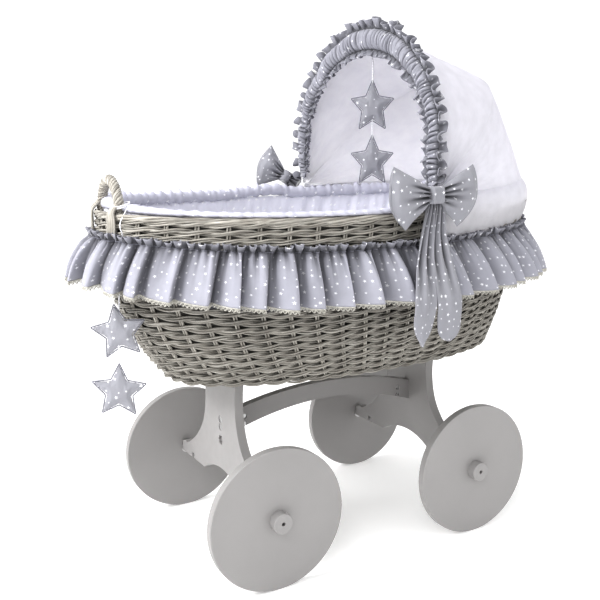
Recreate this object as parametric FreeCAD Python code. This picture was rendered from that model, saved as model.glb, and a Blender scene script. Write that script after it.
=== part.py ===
"""Wicker bassinet on a wheeled wooden stand, with a folding hood.

Millimetres. X runs from the foot end to the head end, Y to the far side, Z up.
The origin is on the floor, under the middle of the overall length.
"""
import FreeCAD, Part
import math
import os

from FreeCAD import Vector

# ---- driving dimensions -------------------------------------------------
# stand
STAND_X = -13.0            # middle of the stand, from the middle of the overall length
WHEELBASE = 462.0
TRACK = 451.0              # over the wheels' outer faces
WHEEL_DIA = 270.0
WHEEL_THICK = 16.0
AXLE_R = 5.0
AXLE_CLEARANCE = 0.06
BUSH_R = 8.0
HUB_R = 19.5
HUB_LENGTH = 18.0
BOARD = 18.0               # thickness of the end panels and of the stretcher
FOOT_Z = 132.0             # lower edge of the feet
FOOT_END_Y = 206.0
ARCH_HALF = 87.0           # half width of the arch between the feet
ARCH_RISE = 26.4

# basket
BASE_Z = 363.0
BASE_THICK = 9.0
OPEN_LOW = 503.0           # openwork band between the lower and the upper weave
OPEN_HIGH = 540.0
RIM_LOW = 662.0
RIM_TOP = 676.0
WALL = 8.0
STAKE_PAIRS = 44
STAKE_R = 2.2
BASE_FOOT_X, BASE_HEAD_X, BASE_HALF_Y = -357.0, 398.0, 169.0
RIM_FOOT_X, RIM_HEAD_X, RIM_HALF_Y = -476.5, 482.0, 243.0
HANDLE_HALF_Y = 63.0
HANDLE_R = 10.0
HANDLE_FOOT_X, HANDLE_HEAD_X = -454.0, 449.0

# bedding and skirt
MATTRESS_THICK = 52.0
LINING_THICK = 3.0
ROLL_TOP = 692.0
SKIRT_TOP = (-1.0, 488.0, 256.8, 618.0)      # middle x, half length, half width, z
SKIRT_HEM = (-1.5, 531.0, 311.0, 525.0)
SKIRT_DEPTH = 8.0          # depth of the gathers

# hood
PIVOT = Vector(81.5, 0, 702.0)
PIN_R = 3.0
EYE_R = 8.0
EYE_THICK = 6.0
HOOP_R = 3.0
FRONT_HOOP = (240.0, 100.0, 150.0, 306.0)   # half span, spring height, side radius, rise
MIDDLE_HOOP = (232.0, 130.0, 151.0, 342.0)
REAR_HOOP = (224.0, 60.0, 400.0, 390.0)
FRONT_ANGLE, MIDDLE_ANGLE, REAR_ANGLE = 88.0, 44.0, 3.0
CLOTH = 1.6

# things that hang
MOBILE_TOP = Vector(111.0, 0, 999.0)
MOBILE_STAR_Z = (877.0, 766.0)
MOBILE_STAR_R = 46.5
RIBBON_R = 1.25
GARLAND_TOP = Vector(-466.5, -63.0, 552.0)
GARLAND_LEAN = 0.05        # the garland stands off the wall, so it hangs a little outwards
GARLAND_STAR_Z = (480.0, 373.0)
GARLAND_STAR_R = 51.0
STAR_TURN = -30.0          # the hanging stars' faces are turned this far about Z

SIDES = (("near", -1), ("far", 1))
ENDS = (("foot", -1), ("head", 1))


# ---- helpers ------------------------------------------------------------
def moved(shape, x=0.0, y=0.0, z=0.0):
    shape = shape.copy()
    shape.translate(Vector(x, y, z))
    return shape


def rod_y(radius, y_low, y_high, x, z):
    """A cylinder along Y."""
    return Part.makeCylinder(radius, y_high - y_low, Vector(x, y_low, z), Vector(0, 1, 0))


def block(x_low, y_low, z_low, x_high, y_high, z_high):
    return Part.makeBox(x_high - x_low, y_high - y_low, z_high - z_low, Vector(x_low, y_low, z_low))


def mirror_y(shape):
    return shape.mirror(Vector(0, 0, 0), Vector(0, 1, 0))


def on_side(shape, sign):
    """The shape as made for the far side, or mirrored to the near side."""
    return shape if sign > 0 else mirror_y(shape)


def oval(mid_x, half_x, half_y, z, inset=0.0):
    """A closed elliptical wire at one height."""
    curve = Part.Ellipse(Vector(mid_x, 0, z), half_x - inset, half_y - inset)
    return Part.Wire([curve.toShape()])


def save(name, *solids):
    shape = solids[0] if len(solids) == 1 else Part.makeCompound(list(solids))
    count = len(shape.Solids)
    if count != len(solids) or not shape.isValid():
        raise ValueError(f"{name}: {count} solids, valid {shape.isValid()}")
    shape.exportStep(f"parts/{name}.step")


# ---- the basket's outer form --------------------------------------------
def hull(z):
    """Middle x, half length and half width of the wicker body at a height."""
    rise = min(1.0, (z - BASE_Z) / (RIM_TOP - BASE_Z))
    foot = BASE_FOOT_X + (RIM_FOOT_X - BASE_FOOT_X) * (1 - (1 - rise) ** 2.8)
    head = BASE_HEAD_X + (RIM_HEAD_X - BASE_HEAD_X) * rise
    half_y = BASE_HALF_Y + (RIM_HALF_Y - BASE_HALF_Y) * (1 - (1 - rise) ** 3.75)
    return (foot + head) / 2, (head - foot) / 2, half_y


def hull_solid(z_low, z_high, inset, steps):
    """The body between two heights, set in from its outer form."""
    heights = [z_low + (z_high - z_low) * i / steps for i in range(steps + 1)]
    wires = []
    for z in heights:
        mid_x, half_x, half_y = hull(z)
        wires.append(oval(mid_x, half_x, half_y, z, inset))
    return Part.makeLoft(wires, True, False)


def hull_shell(z_low, z_high, outer, inner, steps):
    return hull_solid(z_low, z_high, outer, steps).cut(hull_solid(z_low, z_high, inner, steps))


def oval_shell(low, high, thick):
    """A shell between two ovals (mid x, half x, half y, z), its thickness set inwards."""
    outer = Part.makeLoft([oval(*low), oval(*high)], True, True)
    inner = Part.makeLoft([oval(*low, thick), oval(*high, thick)], True, True)
    return outer.cut(inner)


# ---- stand --------------------------------------------------------------
def end_panel(x):
    """One board with a waisted column and two feet, seen along X."""
    top = BASE_Z - 0.3
    waist = [(77, top), (69.5, 322), (70, 290), (84, 239), (117, 198), (153, 171), (180, 156.5)]

    def half(sign):
        curve = Part.BSplineCurve()
        curve.interpolate([Vector(0, sign * y, z) for y, z in waist])
        dip_end = Vector(0, sign * 180, 156.5)
        hump_end = Vector(0, sign * FOOT_END_Y, 152)
        hump = Part.Arc(dip_end, Vector(0, sign * 196, 157.5), hump_end)
        side = Part.LineSegment(hump_end, Vector(0, sign * FOOT_END_Y, FOOT_Z))
        sole = Part.LineSegment(Vector(0, sign * FOOT_END_Y, FOOT_Z), Vector(0, sign * ARCH_HALF, FOOT_Z))
        return [curve.toShape(), hump.toShape(), side.toShape(), sole.toShape()]

    arch = Part.Arc(
        Vector(0, -ARCH_HALF, FOOT_Z), Vector(0, 0, FOOT_Z + ARCH_RISE), Vector(0, ARCH_HALF, FOOT_Z)
    )
    head = Part.LineSegment(Vector(0, -77, top), Vector(0, 77, top))
    edges = half(-1) + half(1) + [arch.toShape(), head.toShape()]
    outline = Part.Wire(Part.__sortEdges__(edges))
    board = Part.Face(outline).extrude(Vector(BOARD, 0, 0))
    board.translate(Vector(x - BOARD / 2, 0, 0))

    outward = 1 if x > STAND_X else -1
    axle_z = WHEEL_DIA / 2
    for _, sign in SIDES:
        groove = rod_y(AXLE_R + 0.1, 148, 210, x, axle_z)
        lower = block(x - AXLE_R - 0.1, 148, 120, x + AXLE_R + 0.1, 210, axle_z)
        notch = block(x - BOARD, 141, 120, x + BOARD, 152, axle_z + 8)
        for cutter in (groove, lower, notch):
            board = board.cut(on_side(cutter, sign))
    for sign in (-1, 1):
        board = board.cut(Part.makeCylinder(4.0, 20, Vector(x, sign * 45, top - 20)))
    for z in (246, 262):
        hole = Part.makeCylinder(3.2, BOARD + 2, Vector(x - BOARD / 2 - 1, 0, z), Vector(1, 0, 0))
        seat = Part.makeCylinder(7.0, 4, Vector(x + outward * (BOARD / 2 - 4), 0, z), Vector(outward, 0, 0))
        board = board.cut(hole).cut(seat)
    start = Vector(x + outward * (BOARD / 2 - 5), 0, 219)
    rosette = Part.makeCylinder(6.5, 6, start, Vector(outward, 0, 0))
    for i in range(6):
        lobe = Vector(0, 6.5 * math.cos(i * math.pi / 3), 6.5 * math.sin(i * math.pi / 3))
        rosette = rosette.fuse(Part.makeCylinder(3.6, 6, start + lobe, Vector(outward, 0, 0)))
    return board.cut(rosette)


def stretcher():
    """An arched rail between the two panels, with holes for its bolts and barrel nuts."""
    half = WHEELBASE / 2 - BOARD / 2 - 0.1
    low = [Vector(-half, 0, 231), Vector(0, 0, 270), Vector(half, 0, 231)]
    high = [Vector(half, 0, 274.5), Vector(0, 0, 306), Vector(-half, 0, 274.5)]
    edges = [
        Part.Arc(*low).toShape(),
        Part.LineSegment(low[2], high[0]).toShape(),
        Part.Arc(*high).toShape(),
        Part.LineSegment(high[2], low[0]).toShape(),
    ]
    rail = Part.Face(Part.Wire(edges)).extrude(Vector(0, BOARD, 0))
    rail.translate(Vector(STAND_X, -BOARD / 2, 0))
    for _, end in ENDS:
        face_x = STAND_X + end * half
        for z in (246, 262):
            rail = rail.cut(Part.makeCylinder(3.2, 42, Vector(face_x, 0, z), Vector(-end, 0, 0)))
            rail = rail.cut(rod_y(5.05, -BOARD, BOARD, face_x - end * 32, z))
    return rail


def stand():
    axles = [("foot", STAND_X - WHEELBASE / 2), ("head", STAND_X + WHEELBASE / 2)]
    save("end_panel_foot", end_panel(axles[0][1]))
    save("end_panel_head", end_panel(axles[1][1]))
    save("arched_stretcher", stretcher())
    bolts, nuts, pegs = [], [], []
    for name, x in axles:
        end = 1 if name == "head" else -1
        for z in (246, 262):
            shank = Part.makeCylinder(3.0, 44, Vector(x + end * 6, 0, z), Vector(-end, 0, 0))
            head = Part.makeCylinder(6.5, 3, Vector(x + end * 5.2, 0, z), Vector(end, 0, 0))
            bolts.append(shank.fuse(head).removeSplitter())
            nut_x = x - end * (BOARD / 2 + 0.1 + 32)
            nut = rod_y(5.0, -7, 7, nut_x, z)
            nuts.append(nut.cut(Part.makeCylinder(3.05, 12, Vector(nut_x - 6, 0, z), Vector(1, 0, 0))))
        for y in (-45, 45):
            peg = Part.makeCylinder(3.95, 27, Vector(x, y, BASE_Z - 20.2))
            pegs.append(peg.makeChamfer(0.8, [peg.Edges[0], peg.Edges[2]]))
    save("stretcher_bolts", *bolts)
    save("stretcher_barrel_nuts", *nuts)
    save("locating_pegs", *pegs)


def running_gear():
    inner_y = TRACK / 2 - WHEEL_THICK
    outer_y = TRACK / 2
    axle_z = WHEEL_DIA / 2
    rods, clips, washers, screws = [], [], [], []
    for end, end_sign in ENDS:
        x = STAND_X + end_sign * WHEELBASE / 2
        for side, sign in SIDES:
            rod = rod_y(AXLE_R, 143, outer_y - 0.3, x, axle_z)
            rod = rod.cut(rod_y(3.0, outer_y - 18, outer_y, x, axle_z))
            rods.append(on_side(rod, sign))
            clip = rod_y(7.6, 142, 151, x, axle_z).cut(rod_y(AXLE_R + 0.02, 140, 155, x, axle_z))
            clips.append(on_side(clip, sign))
            washer = rod_y(11, FOOT_END_Y + 0.3, inner_y - 0.3, x, axle_z)
            washers.append(on_side(washer.cut(rod_y(AXLE_R + 0.1, 200, 215, x, axle_z)), sign))
            head = rod_y(9, outer_y + 0.3, outer_y + 4, x, axle_z)
            socket = rod_y(2.5, outer_y + 1.5, outer_y + 5, x, axle_z)
            shank = rod_y(2.95, outer_y - 16, outer_y + 1, x, axle_z)
            screws.append(on_side(head.fuse(shank).removeSplitter().cut(socket), sign))

            wheel = rod_y(axle_z, inner_y, outer_y, x, axle_z)
            wheel = wheel.makeFillet(1.5, [e for e in wheel.Edges if e.Length > 500])
            wheel = wheel.cut(rod_y(BUSH_R + 0.02, inner_y - 1, outer_y + 1, x, axle_z))
            save(f"wheel_{side}_{end}", on_side(wheel, sign))
            bush = rod_y(BUSH_R, inner_y, outer_y, x, axle_z)
            bush = bush.cut(rod_y(AXLE_R + AXLE_CLEARANCE, inner_y - 1, outer_y + 1, x, axle_z))
            save(f"wheel_bush_{side}_{end}", on_side(bush, sign))
            cap = rod_y(HUB_R, outer_y, outer_y + HUB_LENGTH, x, axle_z)
            far_rim = [e for e in cap.Edges if e.CenterOfMass.y > outer_y + HUB_LENGTH - 1 and e.Length > 99]
            cap = cap.makeFillet(2.0, far_rim)
            cap = cap.cut(rod_y(11, outer_y - 1, outer_y + 10, x, axle_z))
            cap = cap.cut(rod_y(3.6, outer_y, outer_y + 30, x, axle_z))
            save(f"hub_cap_{side}_{end}", on_side(cap, sign))
    save("axle_rods", *rods)
    save("axle_clips", *clips)
    save("spacer_washers", *washers)
    save("axle_screws", *screws)


# ---- basket -------------------------------------------------------------
def basket():
    base = hull_solid(BASE_Z, BASE_Z + BASE_THICK, WALL + 0.4, 2)
    for _, end in ENDS:
        for y in (-45, 45):
            x = STAND_X + end * WHEELBASE / 2
            base = base.cut(Part.makeCylinder(4.6, 20, Vector(x, y, BASE_Z - 5)))
    save("basket_base", base)
    save("lower_weave", hull_shell(BASE_Z, OPEN_LOW, 0, WALL, 8))
    save("upper_weave", hull_shell(OPEN_HIGH, RIM_LOW, 0, WALL, 5))

    stakes = []
    low, high = hull(OPEN_LOW), hull(OPEN_HIGH)
    for i in range(STAKE_PAIRS):
        turn = 2 * math.pi * i / STAKE_PAIRS
        for shift in (-0.011, 0.011):
            ends = []
            for (mid_x, half_x, half_y), z in ((low, OPEN_LOW + 0.5), (high, OPEN_HIGH - 0.5)):
                px = mid_x + (half_x - WALL / 2) * math.cos(turn + shift)
                py = (half_y - WALL / 2) * math.sin(turn + shift)
                ends.append(Vector(px, py, z))
            along = ends[1] - ends[0]
            stakes.append(Part.makeCylinder(STAKE_R, along.Length, ends[0], along))
    save("wall_stakes", *stakes)

    mid_x, half_x, half_y = hull(RIM_TOP)
    rim = oval_shell((mid_x, half_x + 3, half_y + 3, RIM_LOW), (mid_x, half_x + 3, half_y + 3, RIM_TOP), 11.5)
    for sign in (-1, 1):
        for dx in (-7, 7):
            pilot = rod_y(1.6, 228, 250, PIVOT.x + dx, 669)
            rim = rim.cut(on_side(pilot, sign))
    save("rim_border", rim)

    band = hull_shell(641, 661, -3.2, -0.2, 2)
    wraps = []
    for name, x in (("foot", HANDLE_FOOT_X), ("head", HANDLE_HEAD_X)):
        arch = Part.makeTorus(HANDLE_HALF_Y, HANDLE_R, Vector(x, 0, RIM_TOP - 2), Vector(1, 0, 0))
        save(f"handle_{name}", arch.cut(block(x - 20, -90, 500, x + 20, 90, RIM_TOP + 0.3)))
        low_x, high_x = sorted((x - 60, x + 60))
        for y in (-HANDLE_HALF_Y, HANDLE_HALF_Y):
            wraps.append(band.common(block(low_x, y - 9, 600, high_x, y + 9, 700)))
    save("handle_wraps", *wraps)


def bedding():
    z = BASE_Z + BASE_THICK + 0.5
    pad = hull_solid(z, z + MATTRESS_THICK, WALL + 1 + LINING_THICK + 3, 4)
    save("mattress", pad.makeFillet(10, [e for e in pad.Edges if e.BoundBox.ZMin > z + MATTRESS_THICK - 1]))
    save("lining", hull_shell(z + 0.5, RIM_TOP + 0.3, WALL + 1, WALL + 1 + LINING_THICK, 8))
    mid_x, half_x, half_y = hull(RIM_TOP)
    low = (mid_x, half_x - 37, half_y - 1, RIM_TOP + 0.6)
    save("lining_roll", oval_shell(low, low[:3] + (ROLL_TOP,), 26))


def skirt():
    outer = Part.makeLoft([oval(*SKIRT_HEM), oval(*SKIRT_TOP)], True, True)
    inner = Part.makeLoft([oval(*SKIRT_HEM, SKIRT_DEPTH), oval(*SKIRT_TOP, SKIRT_DEPTH)], True, True)
    save("skirt", outer.cut(inner))
    mid_x, half_x, half_y, z = SKIRT_HEM
    lace = (mid_x, half_x - 1, half_y - 1, z - 8)
    save("skirt_lace", oval_shell(lace, lace[:3] + (z - 0.3,), 6))


# ---- hood ---------------------------------------------------------------
def arch_edges(half_span, spring, side_radius, rise, foot=0.0):
    """A three-centred arch in the YZ plane, from the near foot to the far foot, pivots at z = 0."""
    offset = half_span - side_radius
    crown = rise - spring
    top_radius = (offset ** 2 + crown ** 2 - side_radius ** 2) / (2 * (crown - side_radius))
    top_centre = Vector(0, 0, rise - top_radius)
    side_centre = Vector(0, offset, spring)
    outward = side_centre - top_centre if side_radius < top_radius else top_centre - side_centre
    outward.normalize()
    joint = top_centre + outward * top_radius
    middle = Vector(0, 1, 0) + outward
    middle.normalize()
    shoulder = side_centre + middle * side_radius
    springing = Vector(0, half_span, spring)

    def near(p):
        return Vector(p.x, -p.y, p.z)

    return [
        Part.LineSegment(Vector(0, -half_span, foot), near(springing)).toShape(),
        Part.Arc(near(springing), near(shoulder), near(joint)).toShape(),
        Part.Arc(near(joint), Vector(0, 0, rise), joint).toShape(),
        Part.Arc(joint, shoulder, springing).toShape(),
        Part.LineSegment(springing, Vector(0, half_span, foot)).toShape(),
    ]


def grown(arch, by):
    half_span, spring, side_radius, rise = arch
    return half_span + by, spring, side_radius + by, rise + by


def band_face(outer, inner, foot=0.0):
    """The flat face between two arches."""
    edges = arch_edges(*outer, foot) + arch_edges(*inner, foot)
    for sign in (-1, 1):
        ends = Vector(0, sign * outer[0], foot), Vector(0, sign * inner[0], foot)
        edges.append(Part.LineSegment(*ends).toShape())
    return Part.Wire(Part.__sortEdges__(edges))


def raised(shape, angle):
    """From the upright plane at the origin to the hood's pivot, at an angle above the horizontal."""
    shape = shape.copy()
    shape.rotate(Vector(0, 0, 0), Vector(0, 1, 0), 90 - angle)
    shape.translate(PIVOT)
    return shape


def hoop(arch):
    path = Part.Wire(arch_edges(*arch, EYE_R - 3))
    start = Vector(0, -arch[0], EYE_R - 3)
    profile = Part.Wire([Part.Circle(start, Vector(0, 0, 1), HOOP_R).toShape()])
    rod = path.makePipeShell([profile], True, True)
    for sign in (-1, 1):
        low = sign * arch[0] - EYE_THICK / 2
        rod = rod.fuse(rod_y(EYE_R, low, low + EYE_THICK, 0, 0))
    for sign in (-1, 1):
        low = sign * arch[0] - EYE_THICK / 2
        rod = rod.cut(rod_y(PIN_R + 0.05, low - 1, low + EYE_THICK + 1, 0, 0))
    return rod


def cloth_between(low, high, foot):
    """A thin shell stretched between two (arch, angle) pairs, outside their hoops."""

    def filled(gap, start):
        wires = []
        for arch, angle in (low, high):
            half_span = arch[0] + gap
            floor = Part.LineSegment(Vector(0, half_span, start), Vector(0, -half_span, start))
            outline = Part.Wire(arch_edges(*grown(arch, gap), start) + [floor.toShape()])
            wires.append(raised(outline, angle))
        return Part.makeLoft(wires, True, True)

    return filled(5.0 + CLOTH, foot).cut(filled(5.0, foot - 6))


def hood():
    save("hood_front_hoop", raised(hoop(FRONT_HOOP), FRONT_ANGLE))
    save("hood_middle_hoop", raised(hoop(MIDDLE_HOOP), MIDDLE_ANGLE))
    save("hood_rear_hoop", raised(hoop(REAR_HOOP), REAR_ANGLE))

    outer = (262.0, 100.0, 172.0, 342.0)
    inner = (216.0, 100.0, 128.0, 270.0)
    ruffle = Part.Face(band_face(outer, inner, 26)).extrude(Vector(28, 0, 0))
    ruffle.translate(Vector(-14, 0, 0))
    channel = Part.Wire(arch_edges(*FRONT_HOOP, 10))
    start = Part.Wire([Part.Circle(Vector(0, -FRONT_HOOP[0], 10), Vector(0, 0, 1), HOOP_R + 0.5).toShape()])
    ruffle = ruffle.cut(channel.makePipeShell([start], True, True))
    save("hood_ruffle", raised(ruffle, FRONT_ANGLE))

    before_front = block(-100, -400, 600, PIVOT.x + 15, 400, 1200)
    before_front.rotate(PIVOT, Vector(0, 1, 0), 90 - FRONT_ANGLE)
    front = cloth_between((FRONT_HOOP, FRONT_ANGLE), (MIDDLE_HOOP, MIDDLE_ANGLE + 0.4), 34)
    save("canopy_front", front.cut(before_front))
    rear = cloth_between((MIDDLE_HOOP, MIDDLE_ANGLE - 0.4), (REAR_HOOP, REAR_ANGLE + 1.0), 34)
    save("canopy_rear", rear.cut(before_front))

    levels = [(-0.8, 250.0, 621), (0.6, 250.0, 680), (0.0, 250.0, 700), (-5.5, 249.5, 728)]

    def skin(inset):
        ovals = []
        for past_rim, half_y, z in levels:
            mid_x = (RIM_FOOT_X + RIM_HEAD_X) / 2
            ovals.append(oval(mid_x, RIM_HEAD_X + 5.5 + past_rim - mid_x, half_y, z, inset))
        return Part.makeLoft(ovals, True, True)

    above_rear = block(-100, -400, 0, 700, 400, 300)
    above_rear.rotate(Vector(0, 0, 0), Vector(0, 1, 0), -REAR_ANGLE - 0.5)
    above_rear.translate(PIVOT)
    drop = skin(0).cut(skin(CLOTH)).cut(above_rear)
    save("canopy_drop", drop.cut(block(-600, -400, 600, PIVOT.x + 26, 400, 800)))

    brackets, screws, pins = [], [], []
    x = PIVOT.x
    for _, sign in SIDES:
        plate = block(x - 12, 246.4, 652, x + 12, 249.2, PIVOT.z)
        plate = plate.fuse(rod_y(12, 246.4, 249.2, x, PIVOT.z)).removeSplitter()
        plate = plate.cut(rod_y(PIN_R + 0.05, 240, 255, x, PIVOT.z))
        for dx in (-7, 7):
            plate = plate.cut(rod_y(1.6, 240, 255, x + dx, 669))
            head = rod_y(3.2, 249.4, 251.2, x + dx, 669)
            screws.append(on_side(head.fuse(rod_y(1.5, 236, 250, x + dx, 669)).removeSplitter(), sign))
        brackets.append(on_side(plate, sign))
        pin = rod_y(PIN_R, 218, 251, x, PIVOT.z)
        pin = pin.fuse(rod_y(5.5, 249.4, 251.4, x, PIVOT.z)).fuse(rod_y(5.0, 217, 219, x, PIVOT.z))
        pins.append(on_side(pin.removeSplitter(), sign))
    save("hinge_brackets", *brackets)
    save("bracket_screws", *screws)
    save("hinge_pins", *pins)


# ---- bows ---------------------------------------------------------------
def plate_xz(points, y_low, y_high):
    """A flat outline in XZ, given as (x, z), between two y planes."""
    corners = [Vector(x, y_low, z) for x, z in points]
    return Part.Face(Part.makePolygon(corners + corners[:1])).extrude(Vector(0, y_high - y_low, 0))


def bows():
    mid_x, mid_z = 62.0, 709.0
    for name, sign in SIDES:
        loops = []
        for way in (-1, 1):
            outline = [
                (mid_x + way * 12, mid_z + 13),
                (mid_x + way * 92, mid_z + 48),
                (mid_x + way * 106, mid_z + 4),
                (mid_x + way * 74, mid_z - 62),
                (mid_x + way * 12, mid_z - 13),
            ]
            loops.append(on_side(plate_xz(outline, 265, 289), sign))
        save(f"bow_loops_{name}", *loops)
        knot = block(mid_x - 11.5, 263.5, mid_z - 15, mid_x + 11.5, 293, mid_z + 15)
        save(f"bow_knot_{name}", on_side(knot.makeFillet(5, knot.Edges), sign))

        curtain = [(266, 690), (267, 640), (319, 528), (320, 440), (327, 440), (326, 528), (274, 640), (273, 690)]
        corners = [Vector(-100, y, z) for y, z in curtain]
        fall = Part.Face(Part.makePolygon(corners + corners[:1])).extrude(Vector(300, 0, 0))
        tails = []
        left = [(47, 689), (58, 689), (40, 560), (27, 505), (8, 446), (-6, 452), (-19, 500), (-12, 560), (20, 640)]
        right = [(61, 689), (72, 689), (86, 560), (91, 500), (74, 455), (56, 442), (44, 460), (36, 530), (52, 620)]
        for outline in (left, right):
            tails.append(on_side(fall.common(plate_xz(outline, 200, 400)), sign))
        save(f"bow_tails_{name}", *tails)


# ---- stars and their cords ----------------------------------------------
def star(radius, thick, x, y, z, tilt=0.0):
    """A five-pointed pad with one point up, its middle at (x, y, z)."""
    corners = []
    for i in range(10):
        reach = radius if i % 2 == 0 else radius * 0.5
        turn = math.radians(90 + 36 * i + tilt)
        corners.append(Vector(reach * math.cos(turn), -thick / 2, reach * math.sin(turn)))
    pad = Part.Face(Part.makePolygon(corners + corners[:1])).extrude(Vector(0, thick, 0))
    pad.rotate(Vector(0, 0, 0), Vector(0, 0, 1), STAR_TURN)
    pad.translate(Vector(x, y, z))
    return pad


def cord(name, route, radius):
    """A round tube along straight runs joined by tangent arcs as large as the runs allow."""
    points = [Vector(*p) for p in route]
    edges, at = [], points[0]
    for before, corner, after in zip(points, points[1:], points[2:]):
        back, ahead = before - corner, after - corner
        turn = math.pi - back.getAngle(ahead)
        reach = 0.45 * min(back.Length, ahead.Length)
        back.normalize()
        ahead.normalize()
        bend = reach / math.tan(turn / 2)
        print(f"{name}: turn {math.degrees(turn):.0f} degrees, radius {bend:.1f} mm")
        start, end = corner + back * reach, corner + ahead * reach
        centre_way = back + ahead
        centre_way.normalize()
        centre = corner + centre_way * (bend / math.cos(turn / 2))
        middle = centre - centre_way * bend
        edges += [Part.LineSegment(at, start).toShape(), Part.Arc(start, middle, end).toShape()]
        at = end
    edges.append(Part.LineSegment(at, points[-1]).toShape())
    path = Part.Wire(edges)
    profile = Part.Wire([Part.Circle(points[0], points[1] - points[0], radius).toShape()])
    tube = path.makePipeShell([profile], True, True)
    print(f"{name}: length {path.Length:.1f} mm, volume {tube.Volume / (math.pi * radius ** 2 * path.Length):.4f}")
    return tube


def hanging_things():
    x, y = MOBILE_TOP.x, MOBILE_TOP.y
    save("mobile_knot", Part.makeSphere(4.0, MOBILE_TOP))
    low_star = Vector(x, y, MOBILE_STAR_Z[1])
    top = (x, y, MOBILE_TOP.z - 4.4)
    save("mobile_ribbon", cord("mobile_ribbon", [top, (x, y, low_star.z - 20)], RIBBON_R))
    for name, z in zip(("upper", "lower"), MOBILE_STAR_Z):
        save(f"mobile_star_{name}", star(MOBILE_STAR_R, 10, x, y, z))

    # the garland is tied round the near leg of the foot handle and runs down inside the skirt
    upper = [
        (-442, -66, 703),
        (-453, -76.5, 690),
        (-466, -79, 671),
        (-459, -78, 650),
        (-455.8, -74.5, 632),
        (-459, -69, 592),
        (-466.5, -63.5, 558),
    ]
    save("garland_cord_upper", cord("garland_cord_upper", upper, RIBBON_R))

    def hung(z):
        return GARLAND_TOP.x - GARLAND_LEAN * (GARLAND_TOP.z - z), GARLAND_TOP.y, z

    lower = [hung(GARLAND_TOP.z), hung(GARLAND_STAR_Z[1] - 20)]
    save("garland_cord_lower", cord("garland_cord_lower", lower, RIBBON_R))
    for name, z, tilt in zip(("upper", "lower"), GARLAND_STAR_Z, (8, -3)):
        save(f"garland_star_{name}", star(GARLAND_STAR_R, 12, *hung(z), tilt))


os.makedirs("parts", exist_ok=True)
stand()
running_gear()
basket()
bedding()
skirt()
hood()
bows()
hanging_things()
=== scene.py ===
"""Looks for the wicker bassinet on its wheeled stand, in metres. Its foot is at -X, its near side at -Y."""

import math

import bpy
import numpy as np
from mathutils import Matrix, Vector


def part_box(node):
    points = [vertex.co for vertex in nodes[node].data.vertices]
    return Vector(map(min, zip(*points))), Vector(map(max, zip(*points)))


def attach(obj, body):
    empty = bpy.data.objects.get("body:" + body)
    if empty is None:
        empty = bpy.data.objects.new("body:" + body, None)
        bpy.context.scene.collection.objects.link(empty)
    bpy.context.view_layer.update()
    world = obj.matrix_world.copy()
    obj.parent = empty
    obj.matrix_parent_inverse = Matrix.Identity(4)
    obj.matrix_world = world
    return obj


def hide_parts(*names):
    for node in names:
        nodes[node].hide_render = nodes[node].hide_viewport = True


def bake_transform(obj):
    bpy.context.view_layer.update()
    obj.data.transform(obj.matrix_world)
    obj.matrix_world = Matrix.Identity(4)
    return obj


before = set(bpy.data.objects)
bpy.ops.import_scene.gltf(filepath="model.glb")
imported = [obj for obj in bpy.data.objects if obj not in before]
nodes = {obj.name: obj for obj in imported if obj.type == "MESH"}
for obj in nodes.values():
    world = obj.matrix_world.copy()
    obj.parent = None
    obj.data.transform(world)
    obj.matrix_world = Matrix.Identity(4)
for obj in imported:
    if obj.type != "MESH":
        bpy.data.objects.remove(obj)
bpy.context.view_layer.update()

TAU = 2 * math.pi
UP = np.array([0.0, 0.0, 1.0])

# ---- sizes, most of them shared with the CAD ----------------------------
BASE_Z, RIM_TOP = 0.363, 0.676
BASE_FOOT_X, BASE_HEAD_X, BASE_HALF_Y = -0.357, 0.398, 0.169
RIM_FOOT_X, RIM_HEAD_X, RIM_HALF_Y = -0.4765, 0.482, 0.243
OPEN_LOW, OPEN_HIGH = 0.503, 0.540
STAKES = 44
PIVOT = np.array([0.0815, 0.0, 0.702])     # of the hood
# a hoop's half span, the height where its sides begin to bend, their radius there, and its rise
FRONT_HOOP = (0.240, 0.100, 0.150, 0.306)
MIDDLE_HOOP = (0.232, 0.130, 0.151, 0.342)
REAR_HOOP = (0.224, 0.060, 0.400, 0.390)
FRONT_ANGLE, MIDDLE_ANGLE, REAR_ANGLE = 88.0, 44.0, 3.0        # degrees above the horizontal
HANDLES = (("foot", -0.454, -1), ("head", 0.449, 1))           # each one's name, x, and way out
HANDLE_HALF_Y = 0.052
HANDLE_RISE = 0.064
BOW = np.array([0.056, 0.0, 0.709])
FAR_BOW_TIP = 34.0         # degrees, its foot side up
MOBILE_TOP = np.array([0.111, 0.0, 0.999])
MOBILE_STARS = (0.877, 0.766)              # heights
GARLAND_TOP = np.array([-0.4665, -0.063, 0.552])
GARLAND_STARS = (0.480, 0.373)             # heights
GARLAND_LEAN = 0.05        # towards the head, for each metre up
PLAN_POWER = 2.25          # the basket's plan is a little squarer than an ellipse
FOOT_FLARE, SIDE_FLARE = 2.8, 3.75         # how fast the foot end and the sides reach their full size


# ---- camera -------------------------------------------------------------
CAMERA_TURN = (-29.85, 10.94, -0.584)      # azimuth, elevation and roll in degrees
CAMERA_AIM_X, CAMERA_AIM_Z = -0.0533, 0.4850   # x is from the middle between the near wheels
CAMERA_DISTANCE = 1.7433
SENSOR_WIDTH, LENS = 36.0, 50.93           # millimetres


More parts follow.
